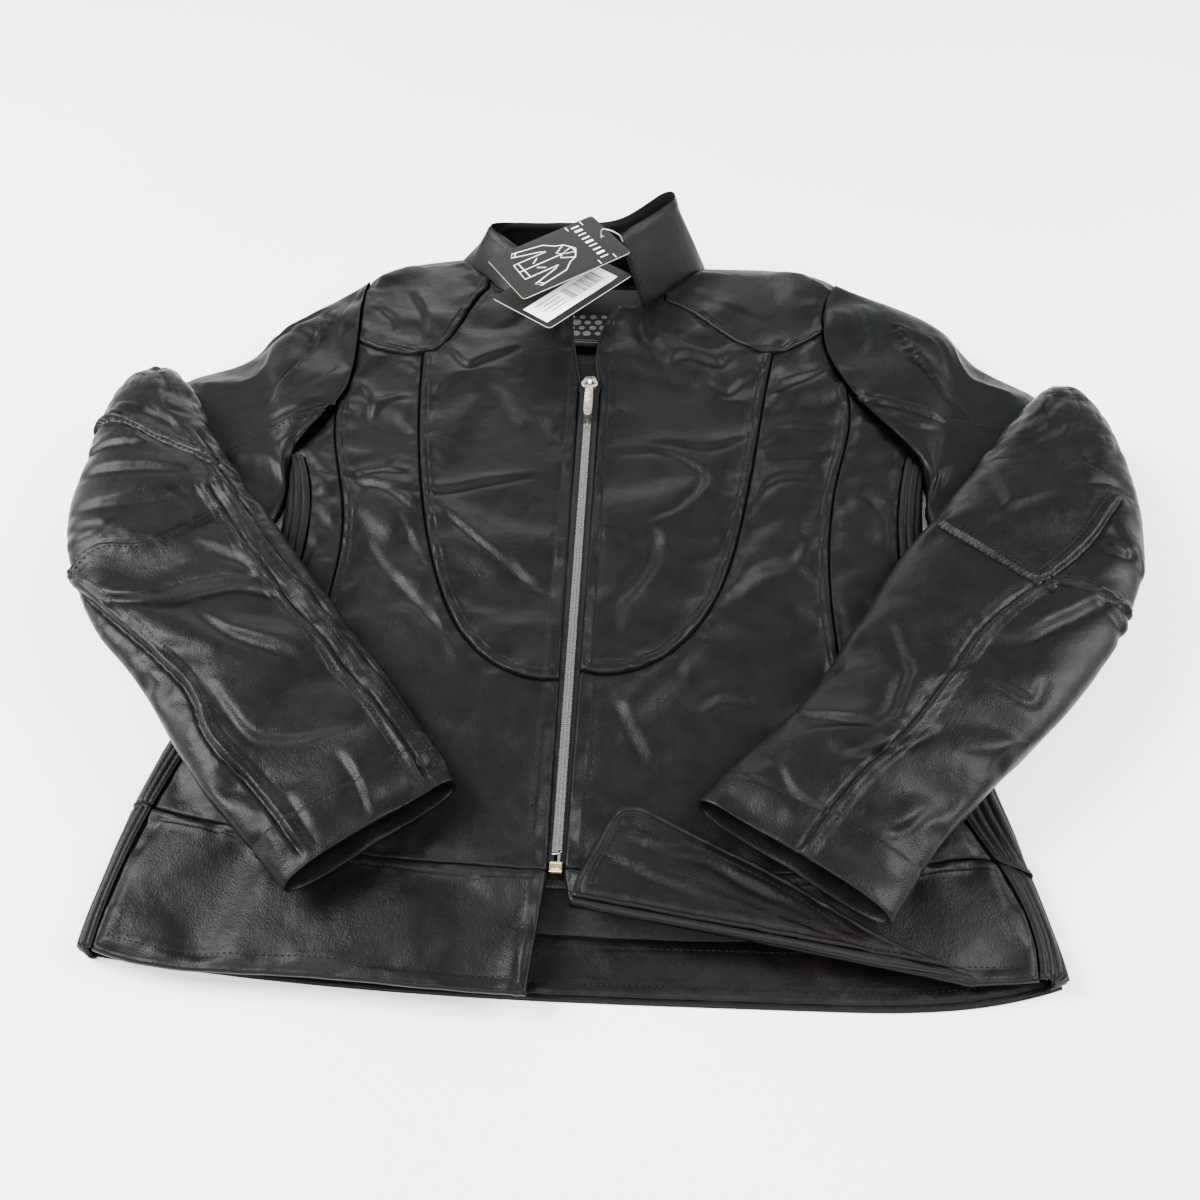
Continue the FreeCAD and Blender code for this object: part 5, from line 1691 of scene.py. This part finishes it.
class Card:
    """The plane of a card or sticker, from its CAD node: its corner, long and short directions and facing."""

    def __init__(self, name, along):
        mesh = NODES[name].data
        mesh.calc_loop_triangles()
        self.up = max(mesh.loop_triangles, key=lambda t: t.area * (t.normal.z > 0.5)).normal.copy()
        hint = Vector(along)
        self.along = (hint - self.up * hint.dot(self.up)).normalized()
        self.across = self.up.cross(self.along).normalized()
        points = [v.co for v in mesh.vertices]
        (self.a0, a1), (self.c0, c1), (n0, self.n1) = (
            (min(p.dot(axis) for p in points), max(p.dot(axis) for p in points))
            for axis in (self.along, self.across, self.up))
        self.length, self.width, self.thick = a1 - self.a0, c1 - self.c0, self.n1 - n0

    def at(self, along, across, height=0.0):
        """A point by distance along and across from the corner, height above the face."""
        return (self.along * (self.a0 + along) + self.across * (self.c0 + across) + self.up * (self.n1 + height))

    def place_of(self, point):
        """Distance along and across of a point."""
        return point.dot(self.along) - self.a0, point.dot(self.across) - self.c0

    def printed(self, along, across, height):
        """A point above the face, which bows a little."""
        bow = -0.5 * MM * (2 * along / self.length - 1) ** 2 * 0.5 + 0.25 * MM * math.sin(3 * across / self.width)
        return self.at(along, across, bow + height)


def build_card(name):
    """A card with rounded corners and a punched hole, its rim in a paler paper."""
    card = Card(name, CARD_ALONG[name])
    length, width, corner = card.length, card.width, CARD_CORNER
    rim = []
    for cx, cy, start in ((length - corner, width - corner, 0), (corner, width - corner, 90),
                          (corner, corner, 180), (length - corner, corner, 270)):
        rim += [(cx + corner * math.cos(a), cy + corner * math.sin(a))
                for a in (math.radians(start + turn) for turn in range(0, 91, 15))]
    hole = [(HOLE[0] + HOLE_RADIUS * math.cos(a), HOLE[1] + HOLE_RADIUS * math.sin(a))
            for a in (-2 * math.pi * k / HOLE_POINTS for k in range(HOLE_POINTS))]
    field = [(x, y) for x in np.arange(6 * MM, length - 4 * MM, 8 * MM)
             for y in np.arange(6 * MM, width - 4 * MM, 8 * MM) if math.dist((x, y), HOLE) > 2 * HOLE_RADIUS]
    loops = [(k, (k + 1) % len(rim)) for k in range(len(rim))]
    loops += [(len(rim) + k, len(rim) + (k + 1) % HOLE_POINTS) for k in range(HOLE_POINTS)]
    made = geometry.delaunay_2d_cdt([Vector(p) for p in rim + hole + field], loops, [], 1, 1e-7)
    flat = [tuple(p) for p in made[0]]
    top = [tuple(f) for f in made[2]
           if math.dist(np.mean([flat[i] for i in f], axis=0), HOLE) > 0.7 * HOLE_RADIUS]
    points = [card.printed(x, y, height) for height in (0.0, -card.thick) for x, y in flat]
    piece = add_mesh(name + "_card", points, close_sheet(top, len(flat)), CARD, name, smooth=False)
    piece.data.materials.append(CARD_EDGE)
    for polygon in piece.data.polygons[2 * len(top):]:
        polygon.material_index = 1
    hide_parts(name)
    return card


class Print:
    """Thin printed ribbons on a card, gathered into one mesh."""

    def __init__(self, card, height):
        self.card, self.height = card, height
        self.points, self.faces = [], []

    def line(self, line, width, closed=False):
        line = [Vector(p) for p in line]
        count, start = len(line), len(self.points)
        for k, p in enumerate(line):
            before = line[k - 1] if (k or closed) else p
            after = line[(k + 1) % count] if (k < count - 1 or closed) else p
            d = (after - before).normalized()
            side = Vector((-d.y, d.x)) * width * 0.5
            self.points += [self.card.printed(q.x, q.y, self.height) for q in (p - side, p + side)]
        for k in range(count if closed else count - 1):
            a, b = start + 2 * k, start + 2 * ((k + 1) % count)
            self.faces.append((a, b, b + 1, a + 1))

    def place(self, name, material, body, slot):
        add_mesh(name, self.points, self.faces, material, body, smooth=False)


def build_front_tag():
    card = build_card("hang_tag_front")
    length, width = card.length, card.width
    ink = Print(card, 0.06 * MM)
    for x in (0.13, 0.27):
        ink.line([(length * x, 1.5 * MM), (length * x, width - 1.5 * MM)], 0.7 * MM)
    for i, line in enumerate(DRAWING):
        ink.line([(length * x, width * y) for x, y in line], 0.85 * MM, closed=i == 0)
    for k in range(9):
        y = width * (0.10 + 0.095 * k)
        ink.line([(length * 0.165, y), (length * 0.235, y)], (1.6, 2.6, 1.2)[k % 3] * MM)
    ink.place("hang_tag_front_print", WHITE_INK, "hang_tag_front", "card")


STICKER_ROWS, STICKER_COLUMNS = 14, 5
STICKER_LIFT, STICKER_CURL = 0.1 * MM, 0.6 * MM


def build_back_tag():
    """The back card and its sticker, with a block of plain bars and four short lines."""
    body = "hang_tag_back"
    card, sticker = build_card(body), Card("tag_sticker", CARD_ALONG[body])
    points = []
    for x in np.linspace(0, sticker.length, STICKER_ROWS):
        for y in np.linspace(0, sticker.width, STICKER_COLUMNS):
            lift = STICKER_LIFT + (STICKER_CURL if x == 0 else 0.0)
            points.append(card.printed(*card.place_of(sticker.at(x, y)), lift))
    paper = add_mesh("tag_sticker_paper", points, grid_faces(STICKER_ROWS, STICKER_COLUMNS), STICKER_PAPER, body)
    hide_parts("tag_sticker")
    ink = Print(card, 0.2 * MM)
    rng = random.Random(8)
    u0, v0 = card.place_of(sticker.at(0, 0))
    x = 8 * MM
    while x < 0.55 * sticker.length:
        thick = rng.choice((0.35, 0.35, 0.7, 1.0)) * MM
        ink.line([(u0 + x, v0 + 4 * MM), (u0 + x, v0 + sticker.width - 6 * MM)], thick)
        x += thick + rng.choice((0.4, 0.6, 0.9)) * MM
    for k in range(4):
        y = v0 + (5 + 4 * k) * MM
        ink.line([(u0 + 0.62 * sticker.length, y), (u0 + (0.9 - 0.06 * (k % 2)) * sticker.length, y)], 0.9 * MM)
    ink.place("tag_sticker_bars", BLACK_INK, body, "sticker")


LOOP_ROUTE = [(8.0, 250.0, 72.0), (3.5, 250.5, 81.0), (-9.0, 252.0, 84.0), (-9.0, 252.0, 70.0),
              (-13.0, 245.0, 62.0), (-13.0, 245.0, 50.0)]
LOOP_RINGS, LOOP_AROUND = 60, 8
LOOP_RADIUS = 0.45           # mm
CROSS_BAR = (4.5 * MM, 0.7 * MM, 0.7 * MM)   # half sizes of the bar at the loop's end


def build_fastener():
    """The thin plastic loop that holds the tags, with its cross bar."""
    line = curve(LOOP_ROUTE, LOOP_RINGS)
    points = []
    for i, p in enumerate(line):
        tangent = Vector(line[min(i + 1, LOOP_RINGS - 1)] - line[max(i - 1, 0)]).normalized()
        side = tangent.cross(Vector((0.2, 1, 0.1))).normalized()
        other = tangent.cross(side)
        points += [Vector(p) + (side * math.cos(a) + other * math.sin(a)) * LOOP_RADIUS * MM
                   for a in (2 * math.pi * k / LOOP_AROUND for k in range(LOOP_AROUND))]
    faces = tube_faces(LOOP_RINGS, LOOP_AROUND)
    faces += [tuple(range(LOOP_AROUND))[::-1], tuple(range(len(points) - LOOP_AROUND, len(points)))]
    low, high = (tuple(place + way * half for place, half in zip(line[-1], CROSS_BAR)) for way in (-1, 1))
    bevelled_block(points, faces, low, high, 0.3 * MM)
    piece = add_mesh("tag_fastener_loop", points, faces, PLASTIC, "root")
    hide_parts("tag_fastener")


# ---------------------------------------------------------------- scene

LAMPS = (                    # name, place, size, power, aim
    ("key", (-1.55, 0.1, 1.5), 1.1, 190, (0.0, 0.0, 0.0)), ("side", (1.6, 0.1, 1.4), 1.2, 120, (0.0, 0.0, 0.0)),
    ("fill", (0.0, -1.7, 1.7), 1.6, 110, (0.0, 0.0, 0.0)), ("back", (-0.3, 2.4, 0.9), 1.0, 22, (0.0, 0.1, 0.0)))


def build_stage():
    bpy.ops.mesh.primitive_grid_add(x_subdivisions=2, y_subdivisions=2, size=12, location=(0, 0, -0.3 * MM))
    floor = bpy.context.object
    floor.name = "floor"
    look = Look("floor", Roughness=0.8)
    look.colour(look.texture("Noise", 3.0, Detail=2.0), 0.3, 0.7, (0.86, 0.86, 0.86), (0.90, 0.90, 0.90))
    floor.data.materials.append(look.material)

    world = bpy.data.worlds.new("studio")
    world.use_nodes = True
    world.node_tree.nodes["Background"].inputs["Color"].default_value = (0.90, 0.95, 1.0, 1)
    world.node_tree.nodes["Background"].inputs["Strength"].default_value = 0.80
    bpy.context.scene.world = world
    for name, place, size, power, aim in LAMPS:
        lamp = bpy.data.lights.new(name, "AREA")
        lamp.size, lamp.energy = size, power
        light = bpy.data.objects.new(name, lamp)
        light.location = place
        light.rotation_euler = (Vector(aim) - Vector(place)).to_track_quat("-Z", "Y").to_euler()
        bpy.context.scene.collection.objects.link(light)

    camera = bpy.data.cameras.new("camera")
    camera.lens, camera.sensor_width = 36, 36
    eye = bpy.data.objects.new("camera", camera)
    eye.location = (0.022, -0.564, 0.562)
    eye.rotation_euler = (math.radians(42.5), 0, math.radians(2.288))
    bpy.context.scene.collection.objects.link(eye)
    bpy.context.scene.camera = eye


build_stage()
for side in SIDES:
    build_front(side)
    for part in ("side_rib", "hem_rib"):
        build_rib(side, part)
    build_hidden_plies(side)
build_back()
build_label()
build_hem_flap()
for side in SIDES:
    build_sleeves(side)
build_collar()
for side in SIDES:
    build_teeth(side)
    build_tape(side)
build_wind_flap()
build_box_and_pin()
build_slider()
build_pull()
build_front_tag()
build_back_tag()
build_fastener()
for body, stitches in STITCHES.items():
    stitches.place(body + "_stitches", body)
